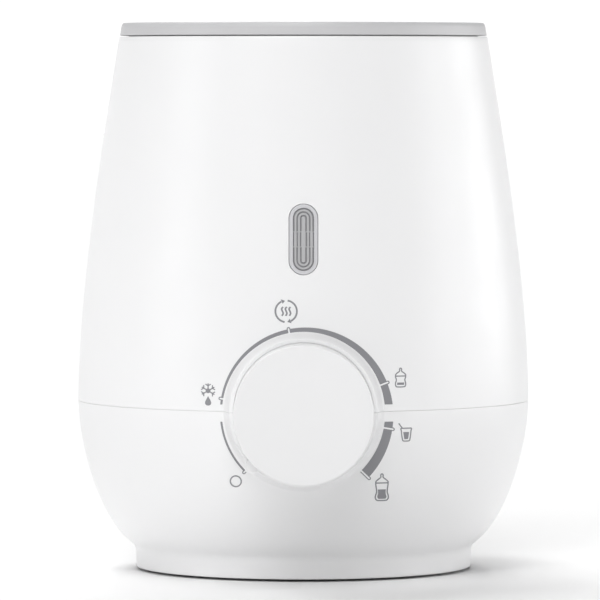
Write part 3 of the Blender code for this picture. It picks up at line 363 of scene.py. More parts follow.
def upper_shell(finish):
    patch = Patchwork()
    shell_wall(patch, 1)
    low = SEAM_Z + SEAM_HALF_GAP + PATCH_HEIGHT
    below = np.linspace(low, WINDOW_LOW, 5)
    beside = np.linspace(WINDOW_LOW, WINDOW_HIGH, 29)
    over = np.linspace(WINDOW_HIGH, RIM_START_Z, 24)
    round_window = np.concatenate([SIDE_STEPS, REAR_STEPS[1:], SIDE_STEPS[1:] + math.radians(322.5)])
    for depth in (0.0, WALL):
        patch.grid(all_round(below, depth), wrap=True)
        patch.grid(wall_point(round_window[None, :], beside[:, None], depth))
        patch.grid(all_round(over, depth), wrap=True)
    top = [(float(radius_at(z)), z) for z in np.linspace(RIM_START_Z, 0.16484, 9)[1:]]
    ledge = 0.1597
    wall_top = TOP_RADIUS - WALL
    top += [(0.05717, 0.16502), (0.05707, 0.16514), (0.05688, SHELL_TOP_Z), (wall_top, SHELL_TOP_Z),
            (wall_top, ledge), (0.0515, ledge), (0.0515, ledge - 0.0020)]
    rows = all_round([RIM_START_Z], 0.0), all_round([RIM_START_Z], WALL)
    edge_path(patch, top, rows[0][0], rows[1][0])
    window_patch(patch, beside)
    return patch.build("upper_shell_form", [finish], "housing", ["upper_shell"])


def lower_shell(finish):
    patch = Patchwork()
    shell_wall(patch, -1)
    high = SEAM_Z - SEAM_HALF_GAP - PATCH_HEIGHT
    rows = np.linspace(high, FOOT_START_Z, 8)
    for depth in (0.0, WALL):
        patch.grid(all_round(rows, depth), wrap=True)
    foot = [(float(radius_at(z)), z) for z in np.linspace(FOOT_START_Z, 0.0078, 9)[1:]]
    foot += [(0.05262, 0.00732), (0.05240, 0.0068), (0.05226, 0.0063), (0.05220, 0.0057), (0.05216, 0.0045),
             (0.05212, 0.0030), (0.05210, 0.0016), (0.05209, 0.0011), (0.05204, 0.00088),
             (0.05192, 0.00074),
             (0.05174, 0.0007), (0.0499, 0.0007), (0.04968, 0.00078), (PLINTH_BORE, 0.0010),
             (PLINTH_BORE, 0.0082)]
    edge_path(patch, foot, all_round([FOOT_START_Z], 0.0)[0], all_round([FOOT_START_Z], WALL)[0])
    piece = patch.build("lower_shell_form", [finish], "housing", ["lower_shell"])
    cut_round_hole(piece, GLAND_HOLE, gland_frame())
    return piece


def gland_frame():
    lean = float(lean_at(GLAND_Z))
    place = Vector((0, AXIS_Y + float(radius_at(GLAND_Z)), GLAND_Z))
    outward = Vector((0, math.cos(lean), math.sin(lean)))
    return Matrix.Translation(place) @ outward.to_track_quat("Z", "X").to_matrix().to_4x4()


def cut_round_hole(piece, radius, place):
    """Cuts a round hole through a wall along the local Z of place."""
    mesh = bmesh.new()
    bmesh.ops.create_cone(mesh, cap_ends=True, segments=48, radius1=radius, radius2=radius, depth=0.016)
    cut_away(piece, mesh, place)


def cut_away(piece, mesh, place=Matrix.Identity(4)):
    """Cuts a cutter mesh out of a piece and keeps the result as its mesh."""
    bmesh.ops.recalc_face_normals(mesh, faces=mesh.faces)
    data = bpy.data.meshes.new("cutter")
    mesh.to_mesh(data)
    mesh.free()
    cutter = bpy.data.objects.new("cutter", data)
    bpy.context.scene.collection.objects.link(cutter)
    cutter.matrix_world = place
    step = piece.modifiers.new("cut", "BOOLEAN")
    step.operation = "DIFFERENCE"
    step.solver = "EXACT"
    step.object = cutter
    bpy.context.view_layer.update()
    shown = piece.evaluated_get(bpy.context.evaluated_depsgraph_get())
    made = bpy.data.meshes.new_from_object(shown)
    piece.modifiers.clear()
    old = piece.data
    piece.data = made
    bpy.data.objects.remove(cutter)
    bpy.data.meshes.remove(old)
    made.shade_smooth()
    made.set_sharp_from_angle(angle=math.radians(SHARP_ANGLE))


# Window ------------------------------------------------------------------------------------

WINDOW_LEAN = float(lean_at(WINDOW_Z))
WINDOW_PLACE = np.array([0, AXIS_Y - float(radius_at(WINDOW_Z)), WINDOW_Z])
WINDOW_UP = np.array([0, math.sin(WINDOW_LEAN), math.cos(WINDOW_LEAN)])
WINDOW_OUT = np.array([0, -math.cos(WINDOW_LEAN), math.sin(WINDOW_LEAN)])


def on_window(u, v, lift=0.0):
    """Points of the window's plane carried along its normal to the wall, then lifted."""
    u, v, lift = np.broadcast_arrays(u, v, lift)
    flat = WINDOW_PLACE + u[..., None] * np.array([1.0, 0, 0]) + v[..., None] * WINDOW_UP
    along = np.zeros(u.shape)
    for _ in range(8):
        point = flat + along[..., None] * WINDOW_OUT
        along = along - (np.hypot(point[..., 0], point[..., 1] - AXIS_Y) - radius_at(point[..., 2]))
    return flat + (along + lift)[..., None] * WINDOW_OUT


def window_patch(patch, heights):
    """The wall round the window's opening, ringed from a rectangle in to the opening."""
    angles = np.concatenate([FRONT_STEPS, np.full(len(heights) - 2, WINDOW_ANGLE),
                             FRONT_STEPS[::-1], np.full(len(heights) - 2, -WINDOW_ANGLE)])
    levels = np.concatenate([np.full(len(FRONT_STEPS), WINDOW_LOW), heights[1:-1],
                             np.full(len(FRONT_STEPS), WINDOW_HIGH), heights[-2:0:-1]])
    border = wall_point(angles, levels)
    u = border[:, 0]
    v = (border - WINDOW_PLACE) @ WINDOW_UP
    core = np.clip(v, -WINDOW_STRAIGHT, WINDOW_STRAIGHT)
    away = np.stack([u, v - core], axis=-1)
    away /= np.linalg.norm(away, axis=-1)[:, None]

    def ring(share, inset):
        hole_u = inset * away[:, 0]
        hole_v = core + inset * away[:, 1]
        return (1 - share) * u + share * hole_u, (1 - share) * v + share * hole_v

    soft = WINDOW_HOLE + WINDOW_SOFT
    rings = [on_window(*ring(share, soft)) for share in (0, 0.2, 0.4, 0.6, 0.8, 0.92, 1)]
    rings += [on_window(*ring(1, WINDOW_HOLE + inset), -drop)
              for inset, drop in ((0.00007, 0.00002), (0.00002, 0.00007), (0, 0.00014), (0, 0.0012))]
    inner = []
    for share in (1, 0.6, 0.3, 0):
        place = on_window(*ring(share, WINDOW_HOLE))
        angle = np.arctan2(place[:, 0], AXIS_Y - place[:, 1])
        inner.append(wall_point(angle, place[:, 2], WALL))
    patch.grid(rings + inner, wrap=True)


def pill_ring(half_width, straights, cap_steps=24):
    """(u, v) round a pill, anticlockwise from the foot of its right side. half_width may vary with v."""
    def width_at(v):
        return half_width(v) if callable(half_width) else np.full(np.shape(v), half_width)

    end_width = float(width_at(np.array([WINDOW_STRAIGHT]))[0])
    over = np.linspace(0, math.pi, cap_steps + 1)[1:-1]
    right = np.stack([width_at(straights), straights], axis=-1)
    top = np.stack([end_width * np.cos(over), WINDOW_STRAIGHT + end_width * np.sin(over)], axis=-1)
    left = right[::-1] * (-1, 1)
    bottom = -top
    return np.concatenate([right, top, left, bottom])


def mirrored_fill(patch, ring, straight_count, cap_count):
    """Fills the inside of a pill ring with quads between its left and right sides."""
    right = list(range(straight_count))
    top = [straight_count + i for i in range(cap_count)]
    bottom_start = 2 * straight_count + cap_count
    bottom = [bottom_start + i for i in range(cap_count)]
    half = cap_count // 2
    left = [straight_count + cap_count + i for i in range(straight_count)][::-1]
    side_a = bottom[half:] + right + top[:half + 1]
    side_b = bottom[:half + 1][::-1] + left + top[half:][::-1]
    patch.grid(np.stack([ring[side_a], ring[side_b]]))


def window(bezel_finish, lens_finish, groove_shade_finish):
    step = 0.00025
    joint = 0.00227
    marks = joint + np.array([-0.00026, -0.00014, 0, 0.00014, 0.00026])
    plain = [v for v in np.arange(step / 2, WINDOW_STRAIGHT - step / 2, step) if abs(v - joint) > 0.0003]
    half = sorted([*plain, *marks, WINDOW_STRAIGHT])
    straights = np.array([-v for v in half[::-1]] + half)

    bezel = Patchwork()
    profile = [(4.28, -2.6), (4.28, -0.16), (4.26, -0.08), (4.21, -0.02), (4.12, 0.02), (3.90, 0.03),
               (3.70, 0.01),
               (3.50, 0.01), (3.34, 0.03), (3.22, 0.01), (3.17, -0.04), (3.15, -0.12), (3.15, -2.6),
               (4.28, -2.6)]
    rows = []
    for half_width, lift in profile:
        outline = pill_ring(half_width / 1000, straights)
        rows.append(on_window(outline[:, 0], outline[:, 1], lift / 1000))
    bezel.grid(rows, wrap=True)
    bezel.build("window_bezel_form", [bezel_finish], "housing", ["window_bezel"])

    def middle(v):
        return np.clip((joint - np.abs(v)) / 0.0001 + 0.5, 0, 1)

    def bridge(v):
        return np.clip((0.00024 - np.abs(np.abs(v) - joint)) / 0.0001, 0, 1)

    ridge, floor = -0.04, -0.34
    # Each row: half width, its growth in the middle third, lift, and finish; finish 1 is the darker lens
    # finish, painted shade on the groove floors and walls
    profile = [
        (3.08, 0, -2.6, 0), (3.08, 0, floor, 0), (2.78, 0.13, floor, 1), (2.70, 0.13, ridge - 0.08, 1),
        (2.62, 0.13, ridge, 0), (2.16, 0, ridge, 0), (2.10, -0.04, ridge - 0.08, 0),
        (2.04, -0.04, floor, 1),
        (1.72, 0.0, floor, 1), (1.66, 0.0, ridge - 0.08, 1), (1.58, 0.0, ridge, 0), (1.10, 0, ridge, 0),
        (1.03, 0.06, ridge - 0.08, 0), (0.98, 0.06, floor, 1), (0.64, 0.12, floor, 1),
        (0.57, 0.12, ridge - 0.08, 1),
        (0.50, 0.12, ridge, 0), (0.30, 0.06, ridge + 0.03, 0), (0.10, 0, ridge + 0.04, 0),
    ]
    lens = Patchwork()
    rows, looks = [], []
    for base, shift, lift, look in profile:
        outline = pill_ring(lambda v, b=base, s=shift: (b + s * middle(v)) / 1000, straights)
        u, v = outline[:, 0], outline[:, 1]
        raised = bridge(v)
        height = np.where(lift > -1, lift + (ridge - lift) * raised * 0.8, lift)
        rows.append(on_window(u, v, height / 1000))
        # where a bridge lifts a groove up to the ridge, its faces drop the painted shade
        looks.append(np.where(np.minimum(raised, np.roll(raised, -1)) > 0.5, 0, look))
    lens.grid(rows, wrap=True, looks=np.array(looks[1:]))
    cap_count = 23
    mirrored_fill(lens, rows[-1], len(straights), cap_count)
    mirrored_fill(lens, rows[0], len(straights), cap_count)
    lens.build("window_lens_form", [lens_finish, groove_shade_finish], "housing", ["window_lens"])


# Print on the wall -------------------------------------------------------------------------

def strip(patch, left, right, across=1, closed=False, lift=PRINT_LIFT):
    """A thin closed solid on the wall between two edge lines of (x, height) points."""
    left, right = np.asarray(left, float), np.asarray(right, float)
    share = np.linspace(0, 1, across + 1)[None, :, None]
    flat = (1 - share) * left[:, None] + share * right[:, None]
    outer = front_point(flat[..., 0], flat[..., 1], -lift)
    inner = front_point(flat[..., 0], flat[..., 1], PRINT_SINK)
    loop = np.concatenate([outer, inner[:, ::-1]], axis=1)
    if closed:
        patch.grid(np.concatenate([loop, loop[:1]]), wrap=True)
        return
    patch.grid(loop, wrap=True)
    for end in (0, -1):
        patch.grid(np.stack([outer[end], inner[end]]))


def smooth_line(points, steps=6, closed=False):
    """A smooth line through the points."""
    points = np.asarray(points, float)
    if closed:
        padded = np.concatenate([points[-1:], points, points[:2]])
    else:
        padded = np.concatenate([2 * points[:1] - points[1:2], points, 2 * points[-1:] - points[-2:-1]])
    made = []
    for a, b, c, d in zip(padded, padded[1:], padded[2:], padded[3:]):
        for t in np.arange(steps) / steps:
            square = 2 * a - 5 * b + 4 * c - d
            cube = 3 * b - a - 3 * c + d
            made.append(0.5 * (2 * b + t * (c - a) + t * t * square + t**3 * cube))
    if not closed:
        made.append(points[-1])
    return np.array(made)


def stroke(patch, line, width, closed=False, lift=PRINT_LIFT):
    """A line of even width drawn on the wall."""
    line = np.asarray(line, float)
    if closed:
        ahead = np.roll(line, -1, axis=0) - line
        behind = line - np.roll(line, 1, axis=0)
    else:
        ahead = np.diff(line, axis=0, append=2 * line[-1:] - line[-2:-1])
        behind = np.diff(line, axis=0, prepend=2 * line[:1] - line[1:2])
    ahead = ahead / np.linalg.norm(ahead, axis=1)[:, None]
    behind = behind / np.linalg.norm(behind, axis=1)[:, None]
    along = ahead + behind
    along /= np.linalg.norm(along, axis=1)[:, None]
    side = np.stack([-along[:, 1], along[:, 0]], axis=-1)
    reach = width / 2 / np.maximum(np.sum(along * ahead, axis=1), 0.5)[:, None]
    strip(patch, line + reach * side, line - reach * side, closed=closed, lift=lift)


def dot(patch, centre, radius, lift=PRINT_LIFT):
    turns = np.linspace(-math.pi / 2, math.pi / 2, 17)
    x, z = np.maximum(radius * np.cos(turns), radius * 0.02), centre[1] + radius * np.sin(turns)
    strip(patch, np.stack([centre[0] - x, z], axis=-1), np.stack([centre[0] + x, z], axis=-1), 2, lift=lift)


def arc(centre, radius, start, end, steps=None):
    steps = steps or max(6, int(abs(end - start) / math.radians(4)))
    turns = np.linspace(start, end, steps + 1)
    return np.stack([centre[0] + radius * np.cos(turns), centre[1] + radius * np.sin(turns)], axis=-1)


def outline_fill(patch, centre, rows, lift=PRINT_LIFT):
    """A filled shape from rows of (height, half width) in millimetres about a centre."""
    rows = np.array(rows) / 1000
    left = np.stack([centre[0] - rows[:, 1], centre[1] + rows[:, 0]], axis=-1)
    right = np.stack([centre[0] + rows[:, 1], centre[1] + rows[:, 0]], axis=-1)
    strip(patch, left, right, across=4, lift=lift)


SCALE_CENTRE = (0.0, 0.0520)
SCALE_INNER = 0.0245
SEAM_CLEAR = 0.0026
SLIT_HALF = 0.00024
TICKS = tuple(math.radians(angle) for angle in (225, 170, 100, 20, -10.4, -45))
TICK_LINE = 0.00030
TICK_REACH = (0.0006, 0.0006, 0.0005, 0.0006, 0.0006, 0.0007)
BAND_THIN = 0.0006
BAND_THICK = 0.0031
BAND_GROWTH = 1.3           # above 1, the band thickens more towards its end


def scale_width(angle):
    """Width of the band: even up to its left side, then growing clockwise to its end."""
    share = max(0.0, (math.pi - angle) / (math.pi - TICKS[-1]))
    return BAND_THIN + (BAND_THICK - BAND_THIN) * share**BAND_GROWTH


def scale_band(patch, start, end, count):
    """One stretch of the band. Each end is ("slit", angle, side) or ("level", height, side)."""
    def end_angle(end, radius):
        kind, value, side = end
        if kind == "slit":
            return value + side * SLIT_HALF / radius
        rise = math.asin((value - SCALE_CENTRE[1]) / radius)
        return math.pi - rise if side < 0 else rise

    rough = [end_angle(edge, SCALE_INNER) for edge in (start, end)]
    widths = [scale_width(angle) for angle in np.linspace(*rough, count + 1)]
    edges = []
    for share in (0, 1):
        radii = [SCALE_INNER + share * width for width in widths]
        first, last = end_angle(start, radii[0]), end_angle(end, radii[-1])
        turns = np.linspace(first, last, count + 1)
        edges.append(np.stack([SCALE_CENTRE[0] + radii * np.cos(turns),
                               SCALE_CENTRE[1] + radii * np.sin(turns)], axis=-1))
    strip(patch, edges[0], edges[1], across=4)


def scale(finish):
    patch = Patchwork()
    low, high = SCALE_CENTRE[1] - SEAM_CLEAR, SCALE_CENTRE[1] + SEAM_CLEAR
    off, thaw, warm, small, cup, large = TICKS
    scale_band(patch, ("slit", off, -1), ("level", low, -1), 20)
    scale_band(patch, ("level", high, -1), ("slit", thaw, 1), 3)
    scale_band(patch, ("slit", thaw, -1), ("slit", warm, 1), 34)
    scale_band(patch, ("slit", warm, -1), ("slit", small, 1), 40)
    scale_band(patch, ("slit", small, -1), ("level", high, 1), 8)
    scale_band(patch, ("level", low, 1), ("slit", cup, 1), 4)
    scale_band(patch, ("slit", cup, -1), ("slit", large, 1), 20)
    for number, (angle, reach) in enumerate(zip(TICKS, TICK_REACH)):
        outward = np.array([math.cos(angle), math.sin(angle)])
        side = np.array([-outward[1], outward[0]])
        band = SCALE_INNER + scale_width(angle)
        half = SLIT_HALF + TICK_LINE / 2
        tip = np.array(SCALE_CENTRE) + (band + reach - half) * outward
        turns = np.linspace(0, math.pi, 11)
        cap = [tip + half * (math.cos(turn) * side + math.sin(turn) * outward) for turn in turns]
        near = np.array(SCALE_CENTRE) + (band - 0.0001) * outward
        first, last = near + half * side, near - half * side
        if number == len(TICKS) - 1:
            last = np.array(SCALE_CENTRE) + (SCALE_INNER + 0.0001) * outward - half * side
        if number == 0:
            first = np.array(SCALE_CENTRE) + (SCALE_INNER + 0.0002) * outward + half * side
        stroke(patch, [first, *cap, last], TICK_LINE, lift=PRINT_LIFT + OVERPRINT)
    return patch.build("dial_scale", [finish], "housing")


def warm_icon(finish):
    """Three waves of warmth inside two chasing arrows."""
    patch = Patchwork()
    centre = np.array([-0.0052, 0.0827])
    radius = 0.00322
    for turn in (0, math.pi):
        stroke(patch, arc(centre, radius, math.radians(262) + turn, math.radians(116) + turn), 0.00053)
        spin = np.array([[math.cos(turn), math.sin(turn)], [-math.sin(turn), math.cos(turn)]])
        tip, high, low = (np.array([(-0.36, 3.16), (-1.66, 3.58), (-1.02, 2.24)]) / 1000) @ spin + centre
        strip(patch, [tip, high], [tip + (low - tip) * 0.02, low], 2, lift=PRINT_LIFT + OVERPRINT)
    wave = np.array([(0.20, 1.28), (-0.10, 1.0), (-0.23, 0.63), (0, 0.05), (0.22, -0.54), (0.10, -0.98),
                     (-0.18, -1.34)])
    for offset in (-1.12, 0, 1.12):
        stroke(patch, centre + smooth_line(wave + (offset, 0)) / 1000, 0.00050)
    return patch.build("icon_warm", [finish], "housing")


def thaw_icon(finish):
    """A snowflake over a drop."""
    patch = Patchwork()
    centre = np.array([-0.02866, 0.05862])
    for number, arm in enumerate((90, 30, 150, 210, 330)):
        angle = math.radians(arm)
        lift = PRINT_LIFT + 0.000003 * number
        ahead = np.array([math.cos(angle), math.sin(angle)])
        stroke(patch, [centre + 0.0003 * ahead, centre + 0.00220 * ahead], 0.00034, lift=lift)
        for side in (-1, 1):
            branch = angle + side * math.radians(58)
            out = np.array([math.cos(branch), math.sin(branch)])
            start = centre + 0.00150 * ahead
            stroke(patch, [start, start + 0.00092 * out], 0.00031, lift=lift + 0.000018 + 0.000004 * side)
    dot(patch, centre, 0.00072, lift=PRINT_LIFT + 0.000030)
    drop = [(1.80, 0.02), (1.5, 0.17), (1.2, 0.34), (0.9, 0.52), (0.6, 0.68), (0.3, 0.80), (0, 0.89),
            (-0.25, 0.92),
            (-0.5, 0.88), (-0.75, 0.74), (-0.92, 0.50), (-1.0, 0.20), (-1.02, 0.04)]
    outline_fill(patch, (centre[0], 0.0552), drop)
    return patch.build("icon_thaw", [finish], "housing")


def off_icon(finish):
    patch = Patchwork()
    stroke(patch, arc((-0.02035, 0.03135), 0.00164, 0, math.tau, 48)[:-1], 0.00040, closed=True)
    return patch.build("icon_off", [finish], "housing")


def bottle(patch, centre, half_outline, collar, fill, width):
    """A bottle drawn as an outline with a collar line and its contents filled in."""
    right = np.array(half_outline)
    both = np.concatenate([right, (right * (-1, 1))[::-1]]) / 1000
    line = smooth_line(np.array(centre) + both, 5, closed=True)
    stroke(patch, line, width, closed=True)
    level, reach = np.array(collar) / 1000
    ends = [(centre[0] - reach, centre[1] + level), (centre[0] + reach, centre[1] + level)]
    stroke(patch, ends, width, lift=PRINT_LIFT + OVERPRINT)
    outline_fill(patch, centre, fill)


def bottle_icons(finish):
    patch = Patchwork()
    small = [(0.16, 2.36), (0.30, 2.08), (0.28, 1.66), (0.44, 1.36), (1.00, 0.98), (1.44, 0.56),
             (1.53, 0.20), (1.51, -0.30),
             (1.32, -0.88), (1.31, -1.32), (1.48, -1.90), (1.54, -2.50), (1.36, -3.05), (0.90, -3.22)]
    bottle(patch, (0.02917, 0.0630), small, (0.02, 1.52), [(-1.92, 1.02), (-2.2, 1.04), (-2.62, 1.06)],
           0.00034)
    large = [(0.18, 2.72), (0.36, 2.40), (0.32, 1.95), (0.52, 1.58), (1.24, 1.02), (1.78, 0.50),
             (1.88, 0.0), (1.80, -0.90),
             (1.64, -2.0), (1.62, -2.9), (1.84, -3.6), (1.98, -4.25), (1.88, -4.85), (1.50, -5.32),
             (0.80, -5.42)]
    fill = [(-2.0, 1.20), (-2.6, 1.14), (-3.2, 1.12), (-3.7, 1.26), (-4.2, 1.38), (-4.6, 1.30),
            (-4.9, 1.05)]
    bottle(patch, (0.0236, 0.03075), large, (0, 1.86), fill, 0.00037)
    return patch.build("icon_bottles", [finish], "housing")


def cup_icon(finish):
    """A cup with a straw."""
    patch = Patchwork()
    centre = np.array([0.03088, 0.0453])
    side = [(0.8, 1.98), (1.50, 1.96), (1.62, 1.72), (1.48, 1.28), (1.32, -0.2), (1.12, -1.45),
            (0.94, -1.82), (0.5, -1.92)]
    right = np.array(side)
    both = np.concatenate([right, (right * (-1, 1))[::-1]]) / 1000
    stroke(patch, smooth_line(centre + both, 4, closed=True), 0.00034, closed=True)
    outline_fill(patch, centre, [(0.82, 0.88), (-0.2, 0.74), (-1.35, 0.56)])
    stroke(patch, [centre + (-0.00228, 0.0035), centre + (-0.00122, 0.0021)], 0.00034,
           lift=PRINT_LIFT + OVERPRINT)
    return patch.build("icon_cup", [finish], "housing")


# Turned and small pieces -------------------------------------------------------------------

def top_ring(finish):
    low = SHELL_TOP_Z + 0.00035
    profile = [(0.0542, low), (0.05695, low), (0.0565, 0.1685), (0.0560, 0.1695), (0.0543, 0.1695),
               (0.0468, 0.1640),
               (0.0456, 0.1621), (0.0470, 0.1621), (0.0522, 0.1664), (0.0522, 0.1621), (0.0542, 0.1621)]
    soft = [0, 0.00022, 0.0010, 0.0009, 0.0012, 0.0016, 0.0003, 0.0003, 0.0002, 0.0002, 0.0002]
    return turned("top_ring_form", rounded(profile, soft, 6), finish, "housing", 256,
                  replaces=["top_ring"])


RIB_COUNT = 8
RIB_TOP = 0.1450
RIB_ROUND = 0.0010          # height over which a rib's top rounds off
RIB_FACE = 0.0417
RIB_HALF = 0.0010
RIB_WALL = 0.0426           # the tub's radius, where the ribs' widths are set out
RIB_FOOT = 1.7              # half widths out to where a rib's fine steps end


def water_tub(finish):
    """A tapered tub with a rolled floor edge and upright ribs that steady a bottle."""
    rise = [(0.0446, 0.1618), (0.0446, 0.1600), (0.0442, 0.1570), (0.04405, 0.1520)]
    rise += [(0.04405 - 0.00145 * (0.1520 - z) / 0.1024, z)
             for z in (0.1480, 0.1460, 0.1450, 0.14495, 0.1448, 0.1445, 0.1440, 0.1400, 0.12, 0.10, 0.08,
                       0.065, 0.0550)]
    rise += [(0.0426, 0.0496), (0.04245, 0.0486), (0.0419, 0.0478), (0.0411, 0.04735), (0.0401, 0.0472)]
    rest = [(0.0370, 0.0472), (0.0343, 0.0472), (0.0340, 0.0469), (0.0340, 0.0450), (0.0432, 0.0450),
            (0.0444, 0.0472),
            (0.0460, 0.1570), (0.0476, 0.1600), (0.0543, 0.1600), (0.0543, 0.1618), (0.0446, 0.1618)]
    columns = []
    for i in range(RIB_COUNT):
        middle = math.tau * (i + 0.5) / RIB_COUNT
        for side in (-RIB_FOOT, -1.35, -1.08):
            columns.append((middle + side * RIB_HALF / RIB_WALL, None))
        for side in (-1, -0.94, -0.77, -0.5, 0, 0.5, 0.77, 0.94, 1):
            face = RIB_FACE + RIB_HALF * (1 - math.sqrt(1 - side * side))
            columns.append((middle + side * RIB_HALF / RIB_WALL, face))
        for side in (1.08, 1.35, RIB_FOOT):
            columns.append((middle + side * RIB_HALF / RIB_WALL, None))
        gap = math.tau / RIB_COUNT - 2 * RIB_FOOT * RIB_HALF / RIB_WALL
        columns += [(middle + RIB_FOOT * RIB_HALF / RIB_WALL + gap * k / 12, None) for k in range(1, 12)]
    rows = []
    for radius, height in rise + rest:
        row = []
        stands = 0.0
        if 0.0471 < height <= RIB_TOP and radius > 0.0375:
            past = max(0.0, (height - RIB_TOP + RIB_ROUND) / RIB_ROUND)
            stands = math.sqrt(1 - past**2)
        inner = (radius, height) in rise
        for angle, face in columns:
            here = radius
            if inner and face is not None and radius > face:
                here = radius + stands * (face - radius)
            row.append((here * math.cos(angle), AXIS_Y + here * math.sin(angle), height))
        rows.append(row)
    patch = Patchwork()
    patch.grid(rows, wrap=True)
    return patch.build("water_tub_form", [finish], "housing", ["water_tub"], sharp=40)


def heater_plate(finish):
    """The bright floor of the well, with two shallow pressed rings."""
    top, under = 0.0429, 0.0417
    profile = [(0, top), (0.0120, top), (0.0124, top - 0.00012), (0.0130, top - 0.00022),
               (0.0136, top - 0.00012),
               (0.0140, top), (0.0262, top), (0.0268, top - 0.00018), (0.0276, top - 0.00034),
               (0.0330, top - 0.00034),
               (0.0337, top - 0.0002), (0.0408, top - 0.0002), (0.0408, under), (0, under)]
    return turned("heater_plate_form", profile, finish, "housing", 128,
                  replaces=["heater_plate"])


POINTER_HALF = 0.0020
POINTER_TIP = 0.0236
KNOB_EDGE = 0.0004          # rounding of the knob's front edge
KNOB_SKIN = 0.0020          # thickness of its skirt
KNOB_FRONT_SKIN = 0.0025
KNOB_HUB = 0.0056


def knob_outline(radius, nub):
    """(x, height) round the knob, with its pointer standing out by a share nub."""
    half, tip = POINTER_HALF, POINTER_TIP
    spread = math.asin(half / KNOB_RADIUS)
    plain = np.linspace(spread, math.tau - spread, 180)
    circle = np.stack([radius * np.cos(plain), radius * np.sin(plain)], axis=-1)
    root = radius * math.cos(spread)
    sides = np.linspace(0, 1, 5)[1:]
    out = [(root + share * (tip - half - root), -half) for share in sides[:-1]]
    out += [(tip - half + half * math.cos(turn),
             half * math.sin(turn)) for turn in np.linspace(-math.pi / 2, math.pi / 2, 15)]
    out += [(root + share * (tip - half - root), half) for share in sides[:-1][::-1]]
    out = np.array(out)
    turns = np.linspace(-spread, spread, len(out) + 2)[1:-1]
    rest = np.stack([radius * np.cos(turns), radius * np.sin(turns)], axis=-1)
    bump = rest + nub * (out - rest)
    flat = np.concatenate([circle, bump])
    turn = OFF_ANGLE
    spin = np.array([[math.cos(turn), math.sin(turn)], [-math.sin(turn), math.cos(turn)]])
    return flat @ spin


def dial_knob(finish):
    front, back, tip_front, tip_back = KNOB_FACE, KNOB_BACK, 0.0845, 0.0738
    rings = []
    for radius in (0.0030, 0.0080, 0.0130, 0.0170, 0.0190):
        rings.append((radius, front + 0.00006 * (1 - (radius / KNOB_RADIUS)**2) - 0.00006, 0.0))
    for turn in np.linspace(0, math.pi / 2, 7):
        rings.append((KNOB_RADIUS - KNOB_EDGE * (1 - math.sin(turn)),
                      front - KNOB_EDGE * (1 - math.cos(turn)), 0.0))
    rings += [(KNOB_RADIUS, 0.0860, 0.0), (KNOB_RADIUS, tip_front, 0.0), (KNOB_RADIUS, tip_front, 0.88),
              (KNOB_RADIUS, tip_front - 0.00006, 0.95), (KNOB_RADIUS, tip_front - 0.00022, 0.99),
              (KNOB_RADIUS, tip_front - 0.0004, 1.0)]
    rings += [(KNOB_RADIUS, 0.0800, 1.0), (KNOB_RADIUS, tip_back, 1.0), (KNOB_RADIUS, tip_back, 0.0),
              (KNOB_RADIUS, 0.0690, 0.0),
              (KNOB_RADIUS, back + 0.0002, 0.0), (KNOB_RADIUS - 0.0002, back, 0.0),
              (KNOB_RADIUS - KNOB_SKIN, back, 0.0),
              (KNOB_RADIUS - KNOB_SKIN, front - KNOB_FRONT_SKIN, 0.0),
              (KNOB_HUB, front - KNOB_FRONT_SKIN, 0.0), (KNOB_HUB, 0.0650, 0.0),
              (0.0033, 0.0650, 0.0), (0.0033, 0.0843, 0.0), (0.0003, 0.0843, 0.0)]
    rows = []
    for radius, reach, nub in rings:
        outline = knob_outline(radius, nub)
        rows.append(np.stack([outline[:, 0], np.full(len(outline), AXIS_Y - reach),
                              SEAM_Z + outline[:, 1]], axis=-1))
    patch = Patchwork()
    patch.grid(rows, wrap=True)
    patch.polygon(rows[0])
    patch.polygon(rows[-1])
    return patch.build("dial_knob_form", [finish], "dial", ["dial_knob"])


def cord_gland(finish):
    """The moulded gland that the mains cord would leave through."""
    profile = [(3.0, -5.2), (5.6, -5.2), (5.6, -3.6), (4.7, -3.2), (4.7, 0.4), (7.5, 0.4), (7.5, 1.6),
               (6.6, 2.4), (5.2, 2.6),
               (4.8, 4.6), (4.3, 5.0), (3.0, 5.0)]
    soft = np.array([0.2, 0.2, 0.2, 0.2, 0.1, 0.2, 0.5, 0.4, 0.5, 0.3, 0.3, 0.4]) / 1000
    profile = rounded(np.array(profile) / 1000, soft, 4)
    rows = turned_rows([*profile, profile[0]], 72)
    place = np.array(gland_frame())
    rows = rows @ place[:3, :3].T + place[:3, 3]
    patch = Patchwork()
    patch.grid(rows, wrap=True)
    return patch.build("cord_gland_form", [finish], "housing", ["cord_gland"])


def slot_cutter(mesh, start, end, radius, low, high, steps=12):
    """A cutter with round ends between two points."""
    start, end = np.array(start, float), np.array(end, float)
    heading = math.atan2(*(end - start)[::-1]) if np.linalg.norm(end - start) > 0 else 0.0
    outline = []
    for centre, first in ((end, heading - math.pi / 2), (start, heading + math.pi / 2)):
        for i in range(steps + 1):
            turn = first + math.pi * i / steps
            outline.append((centre[0] + radius * math.cos(turn), centre[1] + radius * math.sin(turn)))
    base = [mesh.verts.new((x, y, low)) for x, y in outline]
    top = [mesh.verts.new((x, y, high)) for x, y in outline]
    mesh.faces.new(base[::-1])
    mesh.faces.new(top)
    for i in range(len(outline)):
        j = (i + 1) % len(outline)
        mesh.faces.new((base[i], base[j], top[j], top[i]))


def around(radius, first, count=4):
    """Places round the body axis."""
    turns = [math.radians(first) + math.tau * i / count for i in range(count)]
    return [(radius * math.cos(turn), AXIS_Y + radius * math.sin(turn)) for turn in turns]


VENT_PITCH = 0.0055
VENT_REACH = 0.0110
VENT_HALF = 0.0010
FOOT_POCKET = 0.0063
SCREW_POCKET = 0.0034
SCREW_BORE = 0.0018
CROSS_REACH = 0.0011        # half length of a screw's cross recess
CROSS_HALF = 0.0003


